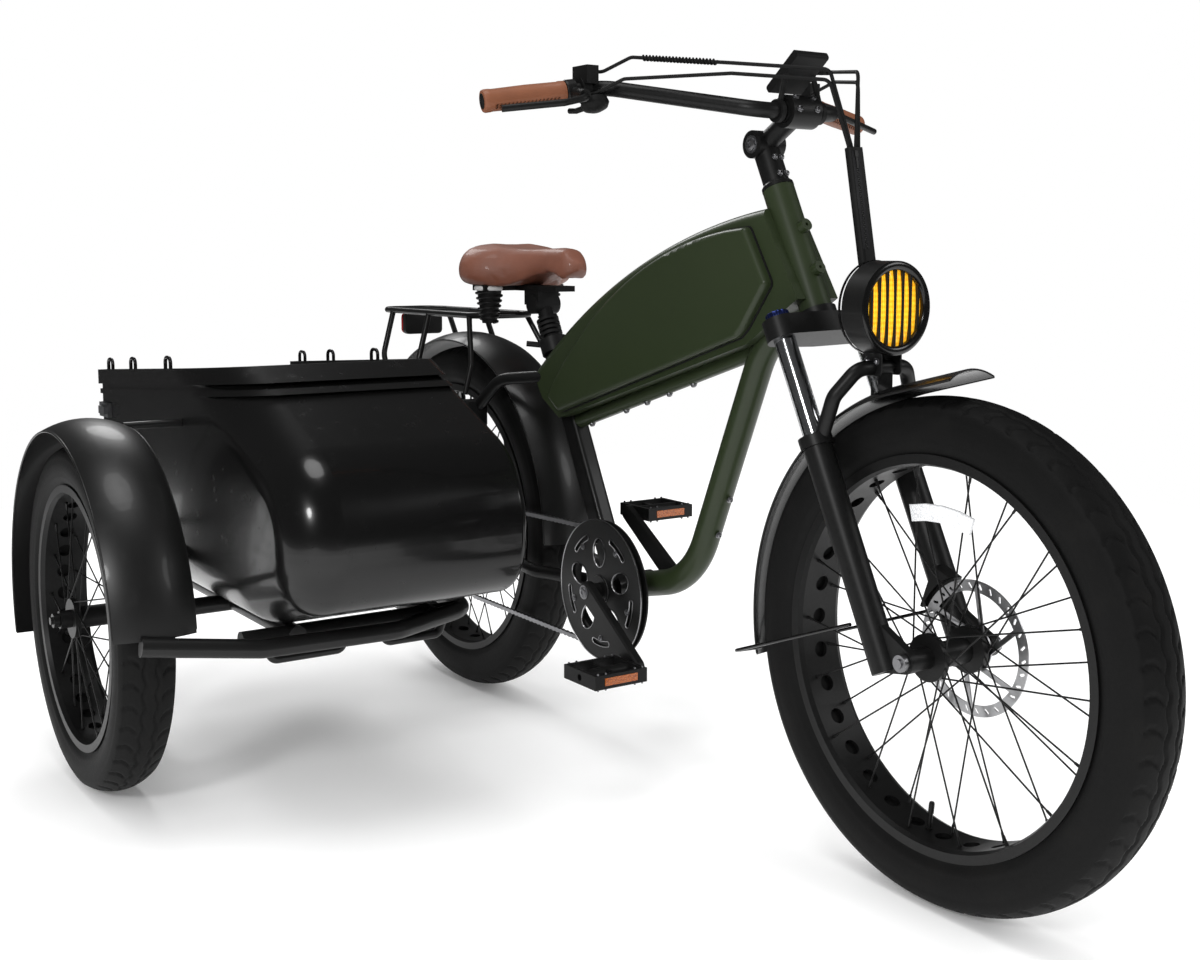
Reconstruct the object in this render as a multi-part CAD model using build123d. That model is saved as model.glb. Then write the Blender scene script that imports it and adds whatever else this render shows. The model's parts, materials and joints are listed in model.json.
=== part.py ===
from build123d import *
from math import acos, atan2, cos, hypot, pi, radians, sin, tan
import os

# Electric bicycle with a sidecar on its right side, in millimetres.
# Working frame: X forwards from the rear axle, Y to the rider's left from the bicycle's middle plane, Z up
# from the floor. save() moves every piece so that the origin lies on the floor in the middle of the box.

# Wheels: 24 inch rims on the bicycle, a 20 inch rim on the sidecar
WHEELBASE = 1244.0
TYRE_R = 332.0
RIM_R = 260.0
SIDE_TYRE_R = 275.0
SIDE_RIM_R = 209.5
TYRE_W = 86.0
TYRE_SEAT = 9.0
SHOULDER_DROP = 13.0
SHOULDER_IN = 5.0
RIM_W = 76.0
RIM_WALL = 3.0
RIM_DEPTH = 15.5
RIM_TAPER = 7.0
RIM_HOLE_R = 11.0
RIM_HOLES = 32
SPOKES = 36
SPOKE_R = 1.2
SPOKE_ROW = 18.0
SPOKE_STAGGER = 2.4
SPOKE_END_GAP = 0.5
SPOKE_LEAD = 60.0
MOTOR_SPOKE_LEAD = 25.0

# Hubs, axles and brakes
BEARING_GAP = 0.3
SEAT_GAP = 0.3
AXLE_R = 6.0
NUT_R = 11.0
NUT_T = 9.0
HUB_HALF = 67.5
SIDE_HUB_HALF = 58.0
HUB_END_R = 14.0
HUB_BARREL_R = 17.0
HUB_BOSS_R = 22.0
FLANGE_Y = 36.0
FLANGE_R = 31.0
FLANGE_HALF_T = 4.5
SPOKE_HOLE_IN = 4.0
MOTOR_R = 92.0
MOTOR_HALF = 46.0
MOTOR_LIP = 6.0
FREEHUB_R = 17.0
DISC_R = 90.0
DISC_T = 2.0
DISC_BAND = 15.0
DISC_SPIDER_R = 30.0
DISC_Y = 54.0
FRONT_DISC_Y = 46.5
CALIPER_GAP = 8.0

# Steering and fork; the head tube's foot stands a fixed room above the tyre
HEAD_ANGLE = 63.5
FORK_RAKE = 41.0
FORK_ROOM = 99.0
HEAD_BOTTOM_Z = 2 * TYRE_R + FORK_ROOM
HEAD_LENGTH = 190.0
HEAD_R = 23.0
HEAD_BORE_R = 18.0
STEERER_R = 14.3
LEG_Y = 74.0
LEG_R = 20.0
STANCHION_R = 15.0
CROWN_LOW = 42.0
CROWN_T = 30.0
LOWER_TOP = 182.0
ARCH_R = 10.0
ARCH = ((-197.1, 3.1, 74.0), (-146.9, 52.7, 70.0), (-121.4, 84.4, 44.0))  # height, forward, side
FRONT_FENDER_R = TYRE_R + 20.0
FRONT_FENDER_HALF = 40.0
FENDER_FLAP = 112.0
STEM_RISE = 72.0
STEM_REACH = 82.0
STEM_TILT = 30.0
BAR_R = 11.1
BAR_CLAMP_R = 15.9
BAR_HALF = 360.0
BAR_POINTS = ((0.0, 0.0, 0.0), (0.0, 70.0, 0.0), (-215.0, 182.0, 42.0), (-258.0, BAR_HALF, 16.0))
BAR_BEND = 45.0
GRIP_R = 16.5
GRIP_START = 240.0
LEVER_AT = 232.0
LEVER_HOUSING_R = 9.0
POD_AT = 211.5
LAMP_PLACE = (-48.0, 114.3)  # height, forward
LAMP_R = 62.0
LAMP_DEPTH = 60.0
LAMP_WALL = 4.0
GRILLE_T = 6.0
GRILLE_PITCH = 14.0
GRILLE_BAR = 4.0
CABLE_R = 2.6
CABLE_BEND = 12.0
SLEEVE_SIDE = 20.0  # leaves the way into the rack bosses free

# Bicycle frame
BB_X = 541.0
BB_DROP = 41.0
BB_Z = TYRE_R - BB_DROP
BB_SHELL_R = 22.0
BB_HALF = 38.0
SPINDLE_R = 12.0
SEAT_TUBE_FOOT_X = 496.0
SEAT_TUBE_LEAN = 26.9
SEAT_TUBE_TOP_Z = BB_Z + 399.0
SEAT_TUBE_W = 32.0
SEAT_TUBE_D = 40.0
SEAT_POST_R = 13.6
POST_TOP_Z = SEAT_TUBE_TOP_Z + 80.0
DOWN_TUBE_R = 21.0
DOWN_TUBE_BEND = 150.0
DOWN_TUBE_KNEE = (167.0, 39.0)  # ahead of and above the bottom bracket
DOWN_TUBE_NECK = (-5.8, -129.5)  # height, forward
LOW_TUBE_R = 13.0
LOW_TUBE_RISE = 257.0
LOW_TUBE_FRONT = (-0.5, -131.3)  # height, forward
TANK_HALF = 38.0
TANK_EDGE_R = 16.0
TANK_REAR = ((269.0, 12.5), (299.0, -26.0), (343.0, -36.0))  # above the bracket, ahead of the seat tube
TANK_FRONT = ((162.9, -6.3), (14.5, 9.1), (2.2, -118.8))  # height, forward
TANK_ARCH = 48.4
PANEL_T = 15.0
PANEL_EDGE_R = 8.0
PANEL_CORNER_R = 9.0
PANEL_REAR = ((305.0, 10.7), (281.0, 34.6))
PANEL_FRONT = ((14.8, -121.5), (20.1, -100.9), (55.1, -27.6), (149.0, -36.7), (165.1, -77.8))
PANEL_ARCH = 57.0
BOSS_HEIGHTS = (52.0, 118.0)
BOSS_R = 9.0
BOSS_REACH = 10.0
BOSS_SINK = 3.0
BOSS_HOLE_R = 2.5
STAY_R = 11.0
STAY_BEND = 60.0
STAY_END_Y = 81.0
DROPOUT_Y = 76.0
DROPOUT_T = 7.0
AXLE_EYE_Y = 106.0

# Drive train
CHAIN_Y = -58.0
CHAIN_W = 6.6
CHAIN_H = 8.4
CHAIN_WAIST = 5.2
CHAIN_PITCH = 12.7
CHAIN_ROOM = 5.1
RING_PITCH_R = 99.0
SPROCKET_PITCH_R = 42.0
GUARD_R = 117.0
GUARD_T = 3.0
GUARD_GAP = 5.5
RING_WINDOWS = 5
PULLEY_PITCH_R = 20.0
PULLEYS = ((46.0, TYRE_R - 70.0, -1), (112.0, TYRE_R - 117.0, 1))  # x, z, side the chain passes
CRANK_LENGTH = 168.0
CRANK_ANGLE = -34.0
CRANK_Y = 84.0
CRANK_T = 14.0
PEDAL_Y = 150.0
PEDAL_LONG = 96.0
PEDAL_WIDE = 88.0
PEDAL_T = 22.0
PEDAL_RAIL = 7.0
PEDAL_SPINDLE_R = 5.0

# Saddle, rack and rear fender
SADDLE_AHEAD = 131.0
SADDLE_BEHIND = 141.0
SADDLE_LOW_Z = POST_TOP_Z + 16.0
SADDLE_DIP_Z = SADDLE_LOW_Z + 62.0
SADDLE_SWEEP_R = 900.0
SADDLE_NOSE_R = 28.0
SADDLE_LOBE_R = 54.0
SADDLE_LOBE_Y = 60.0
SADDLE_WAIST_R = 200.0
SADDLE_DIP_AHEAD = 37.0
SPRING_BEHIND = 77.0
SPRING_Y = 62.0
RACK_Z = TYRE_R + 396.0
RACK_REAR_X = -272.0
RACK_FRONT_X = 136.0
RACK_HALF = 62.0
RACK_R = 6.0
RACK_SLATS = (-212.0, -110.0, -10.0, 80.0)
RACK_LEGS = ((-215.0, -32.0), (-60.0, -16.0))  # top x, foot x
RACK_FOOT = (-12.0, TYRE_R + 16.0)
RACK_KNEE_Z = TYRE_R + 308.0
SLAT_R = 5.0
TAIL_LAMP = (26.0, 84.0, 44.0)
REAR_FENDER_R = TYRE_R + 28.0
REAR_FENDER_HALF = 52.0
FENDER_WALL = 2.5

# Sidecar
TRACK = 785.0
SIDE_LEAD = 186.0
TUB_LEFT_Y = -265.0
TUB_RIGHT_Y = -640.0
TUB_REAR_X = -250.0
TUB_FLOOR_Z = 282.0
TUB_WALL = 4.0
TUB_RIM_REAR_Z = 620.0
TUB_RIM_FRONT = (348.0, 660.0)
TUB_NOSE = (650.0, 525.0)
TUB_CHIN = (645.0, 341.0)
TUB_BELLY = (430.0, TUB_FLOOR_Z)
TUB_NOSE_R = 150.0
TUB_CHIN_R = 95.0
TUB_BELLY_R = 160.0
TUB_RIGHT_EDGE_R = 75.0
TUB_LEFT_EDGE_R = 14.0
RIM_LIP = 8.0
RIM_LIP_UP = 10.0
RIM_LIP_DOWN = 16.0
BEAD_OUT = 5.0
BEAD_SPAN = (-34.0, -25.0)
HOOP_XS = (-215.0, -80.0, 110.0)
HOOP_R = 3.0
GATE_T = 10.0
GATE_PIN_X = TUB_REAR_X - GATE_T - 3.0
GATE_PIN_Z = TUB_FLOOR_Z - 8.0
GATE_PIN_R = 4.0
GATE_HINGES = (0.3, 0.8)
LATCH_DROP = 62.0
RAIL_R = 14.0
RAIL_Z = TUB_FLOOR_Z - SEAT_GAP - RAIL_R
RAIL_YS = (-330.0, -560.0)
RAIL_END_X = 455.0
CROSS_XS = (TUB_REAR_X + 80.0, SIDE_LEAD, 440.0)
CROSS_LEFT_Y = -272.0
CROSS_RIGHT_Y = -645.0
FRONT_BAR = (
    (300.0, -250.0, RAIL_Z),
    (440.0, -262.0, RAIL_Z),
    (512.0, -420.0, RAIL_Z),
    (515.0, -640.0, RAIL_Z + 4.0),
    (500.0, -TRACK - 27.0, SIDE_TYRE_R + 21.0),
)
FRONT_BAR_BEND = 60.0
STEPS = ((-300.0, -420.0), (-470.0, -610.0))
STEP_DROP = 36.0
STEP_R = 7.0
AXLE_ARM_R = 14.0
SIDE_FENDER_R = SIDE_TYRE_R + 37.0
SIDE_FENDER_HALF = 60.0
SIDE_REACH = TRACK + 72.0
LINK_R = 12.0

# Origin and axles
ORIGIN_X = (WHEELBASE + TYRE_R - REAR_FENDER_R) / 2
ORIGIN_Y = (BAR_HALF - SIDE_REACH) / 2
REAR_AXLE = Vector(0, 0, TYRE_R)
FRONT_AXLE = Vector(WHEELBASE, 0, TYRE_R)
SIDE_AXLE = Vector(SIDE_LEAD, -TRACK, SIDE_TYRE_R)
BB = Vector(BB_X, 0, BB_Z)
AXIS_UP = Vector(-cos(radians(HEAD_ANGLE)), 0, sin(radians(HEAD_ANGLE)))
AXIS_FORWARD = Vector(sin(radians(HEAD_ANGLE)), 0, cos(radians(HEAD_ANGLE)))
HEAD_BOTTOM = Vector(
    WHEELBASE - FORK_RAKE / sin(radians(HEAD_ANGLE)) - (HEAD_BOTTOM_Z - TYRE_R) / tan(radians(HEAD_ANGLE)),
    0,
    HEAD_BOTTOM_Z,
)
AXLE_DROP = (HEAD_BOTTOM_Z - TYRE_R + FORK_RAKE * cos(radians(HEAD_ANGLE))) / sin(radians(HEAD_ANGLE))
LOWER_END = AXLE_DROP + 3.0


# Places
def across(y):
    """Step to the side."""
    return Vector(0, y, 0)


def flat(point):
    """A point of the middle plane as (x, z)."""
    return (point.X, point.Z)


def on_axis(height, forward=0.0, side=0.0):
    """Point by height along the steering axis above the head tube's foot, reach ahead of it, and side."""
    return HEAD_BOTTOM + AXIS_UP * height + AXIS_FORWARD * forward + across(side)


def on_seat_tube(z):
    """Point of the seat tube's middle line at a height."""
    return Vector(SEAT_TUBE_FOOT_X - (z - BB_Z) * tan(radians(SEAT_TUBE_LEAN)), 0, z)


def by_seat_tube(rise, ahead):
    """(x, z) at a height above the bottom bracket, ahead of the seat tube's middle line."""
    return (on_seat_tube(BB_Z + rise).X + ahead, BB_Z + rise)


def round_axle(axle, radius, angle, side=0.0):
    """Point at a radius from an axle, its angle counted from straight ahead towards the top."""
    return axle + Vector(radius * cos(radians(angle)), side, radius * sin(radians(angle)))


def run_point(points, index, x):
    """Point at a given x on one straight run of a bent tube."""
    (x0, y0, z0), (x1, y1, z1) = points[index], points[index + 1]
    share = (x - x0) / (x1 - x0)
    return Vector(x, y0 + (y1 - y0) * share, z0 + (z1 - z0) * share)


POST_TOP = on_seat_tube(POST_TOP_Z)
SEAT_UP = (POST_TOP - on_seat_tube(BB_Z)).normalized()
LAMP_CENTRE = on_axis(*LAMP_PLACE)
BAR_CENTRE = on_axis(HEAD_LENGTH + STEM_RISE) + Vector(
    STEM_REACH * cos(radians(STEM_TILT)), 0, STEM_REACH * sin(radians(STEM_TILT))
)
CHAINSTAY = (
    (BB_X - 17, -26, BB_Z - 2),
    (BB_X - 109, -33, BB_Z - 4),
    (BB_X - 203, -68, BB_Z - 4),
    (24, -STAY_END_Y, TYRE_R - 4),
)
SEATSTAY = (
    (on_seat_tube(BB_Z + 337).X - 3, -22, BB_Z + 337),
    tuple(round_axle(REAR_AXLE, TYRE_R + 32.5, 51.7, -69)),
    tuple(round_axle(REAR_AXLE, TYRE_R - 78.2, 57.1, -83)),
    (10, -STAY_END_Y + 1, TYRE_R + 20),
)


# Basic shapes
def save(name, *shapes):
    """Writes one node: its solids, moved to the vehicle's own origin."""
    solids = []
    for shape in shapes:
        solids += shape.solids()
    moved = [Pos(-ORIGIN_X, -ORIGIN_Y, 0) * solid for solid in solids]
    node = Compound(children=moved) if len(moved) > 1 else moved[0]
    node.label = name
    os.makedirs("parts", exist_ok=True)
    export_step(node, f"parts/{name}.step")
    print(name, len(solids), "solids", round(sum(s.volume for s in solids) / 1000), "cm3")


def largest(shape):
    """The biggest solid of a cut shape."""
    return shape.solids().sort_by(SortBy.VOLUME)[-1]


def rod(start, end, radius):
    """Round bar between two points."""
    start = Vector(start)
    along = Vector(end) - start
    return Solid.make_cylinder(radius, along.length, Plane(origin=start, z_dir=along))


def pin(middle, half, radius):
    """Round bar across the vehicle, the same length to both sides of a point."""
    return rod(middle - across(half), middle + across(half), radius)


def bent_tube(points, radius, bend):
    """Round tube along straight runs joined by arcs of one bend radius."""
    path = FilletPolyline(*points, radius=bend)
    return sweep(Plane(origin=path @ 0, z_dir=path % 0) * Circle(radius), path=path)


def turned(points, arcs=()):
    """Solid turned about the Y axis from an outline of (radius, y); arcs gives some runs a middle point."""
    edges = []
    for i, start in enumerate(points):
        end = points[(i + 1) % len(points)]
        middle = dict(arcs).get(i)
        edges.append(ThreePointArc(start, middle, end) if middle else Line(start, end))
    return revolve(make_face(edges), axis=Axis.Y)


def hull_of(*circles):
    """Flat outline stretched round circles given as (x, z, radius)."""
    edges = []
    for x, z, radius in circles:
        edges += (Pos(x, z) * Circle(radius)).edges()
    return make_hull(edges)


def arched(start, end, rise):
    """Arc whose middle stands off the chord by a rise, to the left of the run."""
    (x0, z0), (x1, z1) = start, end
    span = hypot(x1 - x0, z1 - z0)
    middle = ((x0 + x1) / 2 - (z1 - z0) / span * rise, (z0 + z1) / 2 + (x1 - x0) / span * rise)
    return ThreePointArc(start, middle, end)


def upright(outline, y, thickness):
    """Plate along the vehicle: an (x, z) outline with its middle at a side distance y."""
    return Pos(0, y, 0) * extrude(Plane.XZ * outline, thickness / 2, both=True)


def beyond(y, side):
    """Block that holds everything on one side of an upright plane along the vehicle."""
    reach = 4 * TYRE_R
    return Pos(0, y + side * reach, reach / 2) * Box(4 * reach, 2 * reach, 2 * reach)


def mirrored(shape):
    """The same piece on the other side of the bicycle's middle plane."""
    return mirror(shape, about=Plane.XZ)


# Wheels
def tyre(outer_r, rim_r):
    """Closed tyre: seat between the rim's flanges, bulging walls and a rounded crown."""
    half = TYRE_W / 2
    seat = RIM_W / 2 - RIM_WALL - SEAT_GAP
    low = rim_r - TYRE_SEAT
    bead = rim_r + 1
    shoulder = outer_r - SHOULDER_DROP
    belly = (rim_r + outer_r) / 2
    tread = half - SHOULDER_IN
    points = [(low, -seat), (bead, -seat), (shoulder, -tread), (shoulder, tread), (bead, seat), (low, seat)]
    return turned(points, {1: (belly, -half), 2: (outer_r, 0), 3: (belly, half)})


def rim(rim_r):
    """Wide single-wall rim with two flanges and a row of round lightening holes."""
    half = RIM_W / 2
    wall = half - RIM_WALL
    floor = rim_r - TYRE_SEAT - SEAT_GAP
    inner = rim_r - RIM_DEPTH
    band = turned(
        [
            (rim_r, -half), (rim_r, -wall), (floor, -wall), (floor, wall), (rim_r, wall), (rim_r, half),
            (floor - RIM_WALL, half), (inner, half - RIM_TAPER), (inner, RIM_TAPER - half),
            (floor - RIM_WALL, -half),
        ]
    )
    drill = Pos(rim_r, 0, 0) * Rot(0, 90, 0) * Cylinder(RIM_HOLE_R, 4 * RIM_DEPTH)
    return band - [Rot(0, 360 * k / RIM_HOLES, 0) * drill for k in range(RIM_HOLES)]


def laced(hub, rim_r, flange_r, flange_y, lead):
    """Hub with tangential spokes: each flange has leading and trailing spokes that pass beside each other."""
    rods = []
    per_side = SPOKES // 2
    for side in (-1, 1):
        for k in range(per_side):
            turn = 1 if k % 2 else -1
            at_hub = 360 / per_side * (k + (side + 1) / 4)
            shift = turn * SPOKE_STAGGER
            start = round_axle(Vector(0, 0, 0), flange_r, at_hub, side * flange_y + shift)
            end_r = rim_r - RIM_DEPTH - SPOKE_END_GAP
            end = round_axle(Vector(0, 0, 0), end_r, at_hub + turn * lead, side * SPOKE_ROW + shift)
            rods.append(rod(start, end, SPOKE_R))
    return hub.fuse(*rods)


def small_hub(half, boss_y):
    """Turned hub: barrel, two spoke flanges, an axle bore and a boss on its left side up to boss_y."""
    bore = AXLE_R + BEARING_GAP
    lip_out = FLANGE_Y + FLANGE_HALF_T
    lip_in = FLANGE_Y - FLANGE_HALF_T
    waist = FLANGE_Y - 2 * FLANGE_HALF_T
    return turned(
        [
            (bore, -half), (HUB_END_R, -half), (HUB_END_R, -lip_out), (FLANGE_R, -lip_out),
            (FLANGE_R, -lip_in), (HUB_BARREL_R, -waist), (HUB_BARREL_R, waist), (FLANGE_R, lip_in),
            (FLANGE_R, lip_out), (HUB_BOSS_R, lip_out), (HUB_BOSS_R, boss_y), (HUB_END_R, boss_y),
            (HUB_END_R, half), (bore, half),
        ]
    )


def motor_hub():
    """Drum of the rear hub motor, with a stub for the sprockets on the right and for the disc on the left."""
    bore = AXLE_R + BEARING_GAP
    end = DROPOUT_Y - 4
    face = MOTOR_HALF + 2
    edge = MOTOR_HALF - MOTOR_LIP
    lip = MOTOR_HALF - 2 * MOTOR_LIP
    drum = MOTOR_R - 8
    disc_seat = DISC_Y - DISC_T / 2 - SEAT_GAP
    return turned(
        [
            (bore, -end), (FREEHUB_R, -end), (FREEHUB_R, -face), (60, -face), (76, -edge), (MOTOR_R, -edge),
            (MOTOR_R, -lip), (drum, -lip), (drum, lip), (MOTOR_R, lip), (MOTOR_R, edge), (76, edge),
            (60, face), (24, face), (24, disc_seat), (HUB_END_R, disc_seat), (HUB_END_R, end), (bore, end),
        ]
    )


def brake_disc(y):
    """Vented brake disc: slotted band, slanted spider arms and a hub ring."""
    arms = 6
    vents = 30
    arm_r = 3.5
    lean = radians(28)
    tip = DISC_R - 12
    face = Circle(DISC_R) - Circle(DISC_R - DISC_BAND)
    face += Circle(DISC_SPIDER_R) - Circle(HUB_END_R + SEAT_GAP)
    arm = hull_of((DISC_SPIDER_R - 3, 0, arm_r), (tip * cos(lean), tip * sin(lean), arm_r))
    for k in range(arms):
        face += Rot(0, 0, 360 / arms * k) * arm
    vent = Pos(DISC_R - DISC_BAND / 2, 0) * Rot(0, 0, 35) * SlotOverall(9, 3.4)
    for k in range(vents):
        face -= Rot(0, 0, 360 / vents * k) * vent
    return upright(face, y, DISC_T)


def wheels():
    """All three wheels, each as tyre, rim and laced hub, with the two brake discs and the sprockets."""
    front_seat = FRONT_DISC_Y - DISC_T / 2 - SEAT_GAP
    hole_r = FLANGE_R - SPOKE_HOLE_IN
    front_hub = laced(small_hub(HUB_HALF, front_seat), RIM_R, hole_r, FLANGE_Y, SPOKE_LEAD)
    motor_y = MOTOR_HALF - 1.5 * MOTOR_LIP
    motor = laced(motor_hub(), RIM_R, MOTOR_R - SPOKE_HOLE_IN, motor_y, MOTOR_SPOKE_LEAD)
    side_boss = FLANGE_Y + 12
    side_hub = laced(small_hub(SIDE_HUB_HALF, side_boss), SIDE_RIM_R, hole_r, FLANGE_Y, SPOKE_LEAD)
    save("front_tyre", Pos(FRONT_AXLE) * tyre(TYRE_R, RIM_R))
    save("front_rim", Pos(FRONT_AXLE) * rim(RIM_R))
    save("front_hub_and_spokes", Pos(FRONT_AXLE) * front_hub)
    save("front_brake_disc", Pos(FRONT_AXLE) * brake_disc(FRONT_DISC_Y))
    save("rear_tyre", Pos(REAR_AXLE) * tyre(TYRE_R, RIM_R))
    save("rear_rim", Pos(REAR_AXLE) * rim(RIM_R))
    save("rear_motor_and_spokes", Pos(REAR_AXLE) * motor)
    save("rear_brake_disc", Pos(REAR_AXLE) * brake_disc(DISC_Y))
    save("cassette", Pos(REAR_AXLE) * cassette())
    save("side_tyre", Pos(SIDE_AXLE) * tyre(SIDE_TYRE_R, SIDE_RIM_R))
    save("side_rim", Pos(SIDE_AXLE) * rim(SIDE_RIM_R))
    save("side_hub_and_spokes", Pos(SIDE_AXLE) * side_hub)


# Drive train
def cassette():
    """Stack of sprockets beside the motor; the chain runs on the one in its own plane."""
    sprockets = ((1, 46.0), (0, SPROCKET_PITCH_R - CHAIN_ROOM), (-1, 30.0), (-2, 26.0))  # place, radius
    step = 5.0
    thickness = 1.8
    core_r = 24.0
    core_half = (3 * step + thickness) / 2
    stack = pin(across(CHAIN_Y - step / 2), core_half, core_r)
    for place, radius in sprockets:
        stack += pin(across(CHAIN_Y + place * step), thickness / 2, radius)
    return stack - pin(across(CHAIN_Y), TYRE_W, FREEHUB_R + SEAT_GAP)


def belt(circles):
    """Closed run of edges round circles (x, z, radius); a radius below zero puts it on the other side."""
    count = len(circles)
    leave, arrive = {}, {}
    for i in range(count):
        xi, zi, ri = circles[i]
        xj, zj, rj = circles[(i + 1) % count]
        span = hypot(xj - xi, zj - zi)
        normal = atan2(zj - zi, xj - xi) + acos((rj - ri) / span)
        leave[i] = (xi - ri * cos(normal), zi - ri * sin(normal))
        arrive[(i + 1) % count] = (xj - rj * cos(normal), zj - rj * sin(normal))
    edges = []
    for i in range(count):
        x, z, r = circles[i]
        start = atan2(arrive[i][1] - z, arrive[i][0] - x)
        end = atan2(leave[i][1] - z, leave[i][0] - x)
        turn = (end - start) % (2 * pi) if r > 0 else -((start - end) % (2 * pi))
        middle = start + turn / 2
        edges.append(ThreePointArc(arrive[i], (x + abs(r) * cos(middle), z + abs(r) * sin(middle)), leave[i]))
        edges.append(Line(leave[i], arrive[(i + 1) % count]))
    return edges


def chain():
    """Roller chain as one waisted band, thick at each pin, round chainring, sprocket and pulleys."""
    circles = [(BB_X, BB_Z, RING_PITCH_R), (0.0, TYRE_R, SPROCKET_PITCH_R)]
    circles += [(x, z, side * PULLEY_PITCH_R) for x, z, side in PULLEYS]
    path = Wire(belt(circles))
    count = 4 * round(path.length / (2 * CHAIN_PITCH))
    sides = ([], [])
    for k in range(count):
        along = path.length * k / count
        here = path.position_at(along, position_mode=PositionMode.LENGTH)
        ahead = path.tangent_at(along, position_mode=PositionMode.LENGTH)
        height = CHAIN_WAIST / 2 if k % 2 else CHAIN_H / 2
        for side, sign in zip(sides, (-1, 1)):
            side.append((here.X - sign * ahead.Y * height, here.Y + sign * ahead.X * height))
    outer, inner = (make_face(Polyline(*side, close=True)) for side in sides)
    return upright(outer - inner, CHAIN_Y, CHAIN_W)


def derailleur():
    """Rear derailleur: cage plates either side of the chain's pulleys, and its body up to the axle plate."""
    plate_t = 2.0
    plate_y = CHAIN_W / 2 + 0.7 + plate_t / 2
    cage = hull_of(*[(x, z, 9) for x, z, _ in PULLEYS])
    body = upright(cage, CHAIN_Y - plate_y, plate_t) + upright(cage, CHAIN_Y + plate_y, plate_t)
    for x, z, _ in PULLEYS:
        body += pin(Vector(x, CHAIN_Y, z), CHAIN_W / 2 - 0.5, PULLEY_PITCH_R - CHAIN_ROOM - 0.6)
        body += pin(Vector(x, CHAIN_Y, z), plate_y + plate_t, 4)
    x0, z0, _ = PULLEYS[0]
    out_y = -DROPOUT_Y - DROPOUT_T - 14
    knuckle = Vector(x0 - 14, out_y, z0 + 26)
    hanger = Vector(10, out_y, TYRE_R - 34)
    arm_r = 8.0
    body += rod(Vector(x0, CHAIN_Y - plate_y, z0), knuckle, arm_r)
    body += rod(knuckle, hanger, arm_r)
    plate_face = -DROPOUT_Y - DROPOUT_T - SEAT_GAP
    return body + rod(hanger - across(arm_r), Vector(hanger.X, plate_face, hanger.Z), arm_r)


def crank_end(angle):
    """Pedal spindle's place, from the bottom bracket."""
    return Vector(CRANK_LENGTH * cos(radians(angle)), 0, CRANK_LENGTH * sin(radians(angle)))


def crank_arm(side, angle):
    """Forged arm with rounded ends, with the pedal's spindle."""
    end = crank_end(angle)
    arm = extrude(hull_of((0, 0, 17), (CRANK_LENGTH, 0, 13)), CRANK_T)
    arm = chamfer(arm.faces().sort_by(Axis.Z)[-1].edges(), 3)
    arm = Plane(origin=(0, 0, 0), x_dir=end.normalized(), z_dir=(0, side, 0)) * arm
    spindle_end = side * (PEDAL_Y + PEDAL_LONG / 2 - 6)
    spindle = rod(end + across(side * CRANK_Y), end + across(spindle_end), PEDAL_SPINDLE_R)
    return Pos(0, side * CRANK_Y, 0) * arm + spindle


def pedal():
    """Platform pedal: cage with two side rails, cross bars and a bearing barrel."""
    inner = (PEDAL_WIDE - 2 * PEDAL_RAIL, PEDAL_LONG - 2 * PEDAL_RAIL)
    body = Box(PEDAL_WIDE, PEDAL_LONG, PEDAL_T) - Box(*inner, 2 * PEDAL_T)
    body += pin(across(0), PEDAL_LONG / 2, 10)
    body += Box(PEDAL_WIDE, PEDAL_RAIL, PEDAL_T - 8)
    for side in (-1, 1):
        body -= Pos(side * PEDAL_WIDE / 2, 0, 0) * Box(6, PEDAL_LONG - 34, PEDAL_T - 9)
    return body - pin(across(0), PEDAL_LONG, PEDAL_SPINDLE_R + BEARING_GAP)


def pedal_reflectors():
    """Two amber reflectors in the pedal's front and back rails."""
    reflector = Box(3, PEDAL_LONG - 36, PEDAL_T - 10)
    return [Pos(side * (PEDAL_WIDE / 2 - 1.5 + SEAT_GAP), 0, 0) * reflector for side in (-1, 1)]


def spider(guard_y, grow=0.0):
    """Five arms that carry the chainring on the right crank."""
    arms = rod((0, guard_y - 4 - grow, 0), (0, guard_y + 9 + grow, 0), 24 + grow)
    arm = Pos(45, guard_y + 4, 0) * Box(80 + 2 * grow, 5 + 2 * grow, 14 + 2 * grow)
    for k in range(RING_WINDOWS):
        arms += Rot(0, 360 / RING_WINDOWS * k + 16, 0) * arm
    return arms


def chainring(guard_y):
    """Toothless ring between two guard plates, the outer one with round and long windows."""
    face = Circle(GUARD_R) - Circle(22)
    long_window = Pos(90, 0) * SlotArc(CenterArc((-90, 0), 90, -13, 26), 9)
    for k in range(RING_WINDOWS):
        turn = 360 / RING_WINDOWS * k
        face -= Rot(0, 0, turn + 20) * Pos(62, 0) * Ellipse(24, 17)
        face -= Rot(0, 0, turn + 56) * long_window
    inner_face = Circle(GUARD_R - 3) - Circle(RING_PITCH_R - 14)
    ring = Circle(RING_PITCH_R - CHAIN_ROOM) - Circle(RING_PITCH_R - 22)
    wheel = upright(face, guard_y, GUARD_T) + upright(inner_face, 2 * CHAIN_Y - guard_y, GUARD_T)
    wheel += upright(ring, CHAIN_Y, 2 * GUARD_GAP)
    return wheel - spider(guard_y, SEAT_GAP)


def crankset():
    guard_y = CHAIN_Y - GUARD_GAP - GUARD_T / 2
    cranks = pin(across(0), CRANK_Y + CRANK_T - 2, SPINDLE_R) + spider(guard_y)
    save("chainring", Pos(BB) * chainring(guard_y))
    for name, side, angle in (("right", -1, CRANK_ANGLE), ("left", 1, CRANK_ANGLE + 180)):
        cranks += crank_arm(side, angle)
        place = Pos(BB + crank_end(angle) + across(side * PEDAL_Y))
        save(f"{name}_pedal", place * pedal())
        save(f"{name}_pedal_reflectors", *[place * piece for piece in pedal_reflectors()])
    save("crank_arms", Pos(BB) * cranks)
    save("chain", chain())
    save("derailleur", derailleur())


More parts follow.
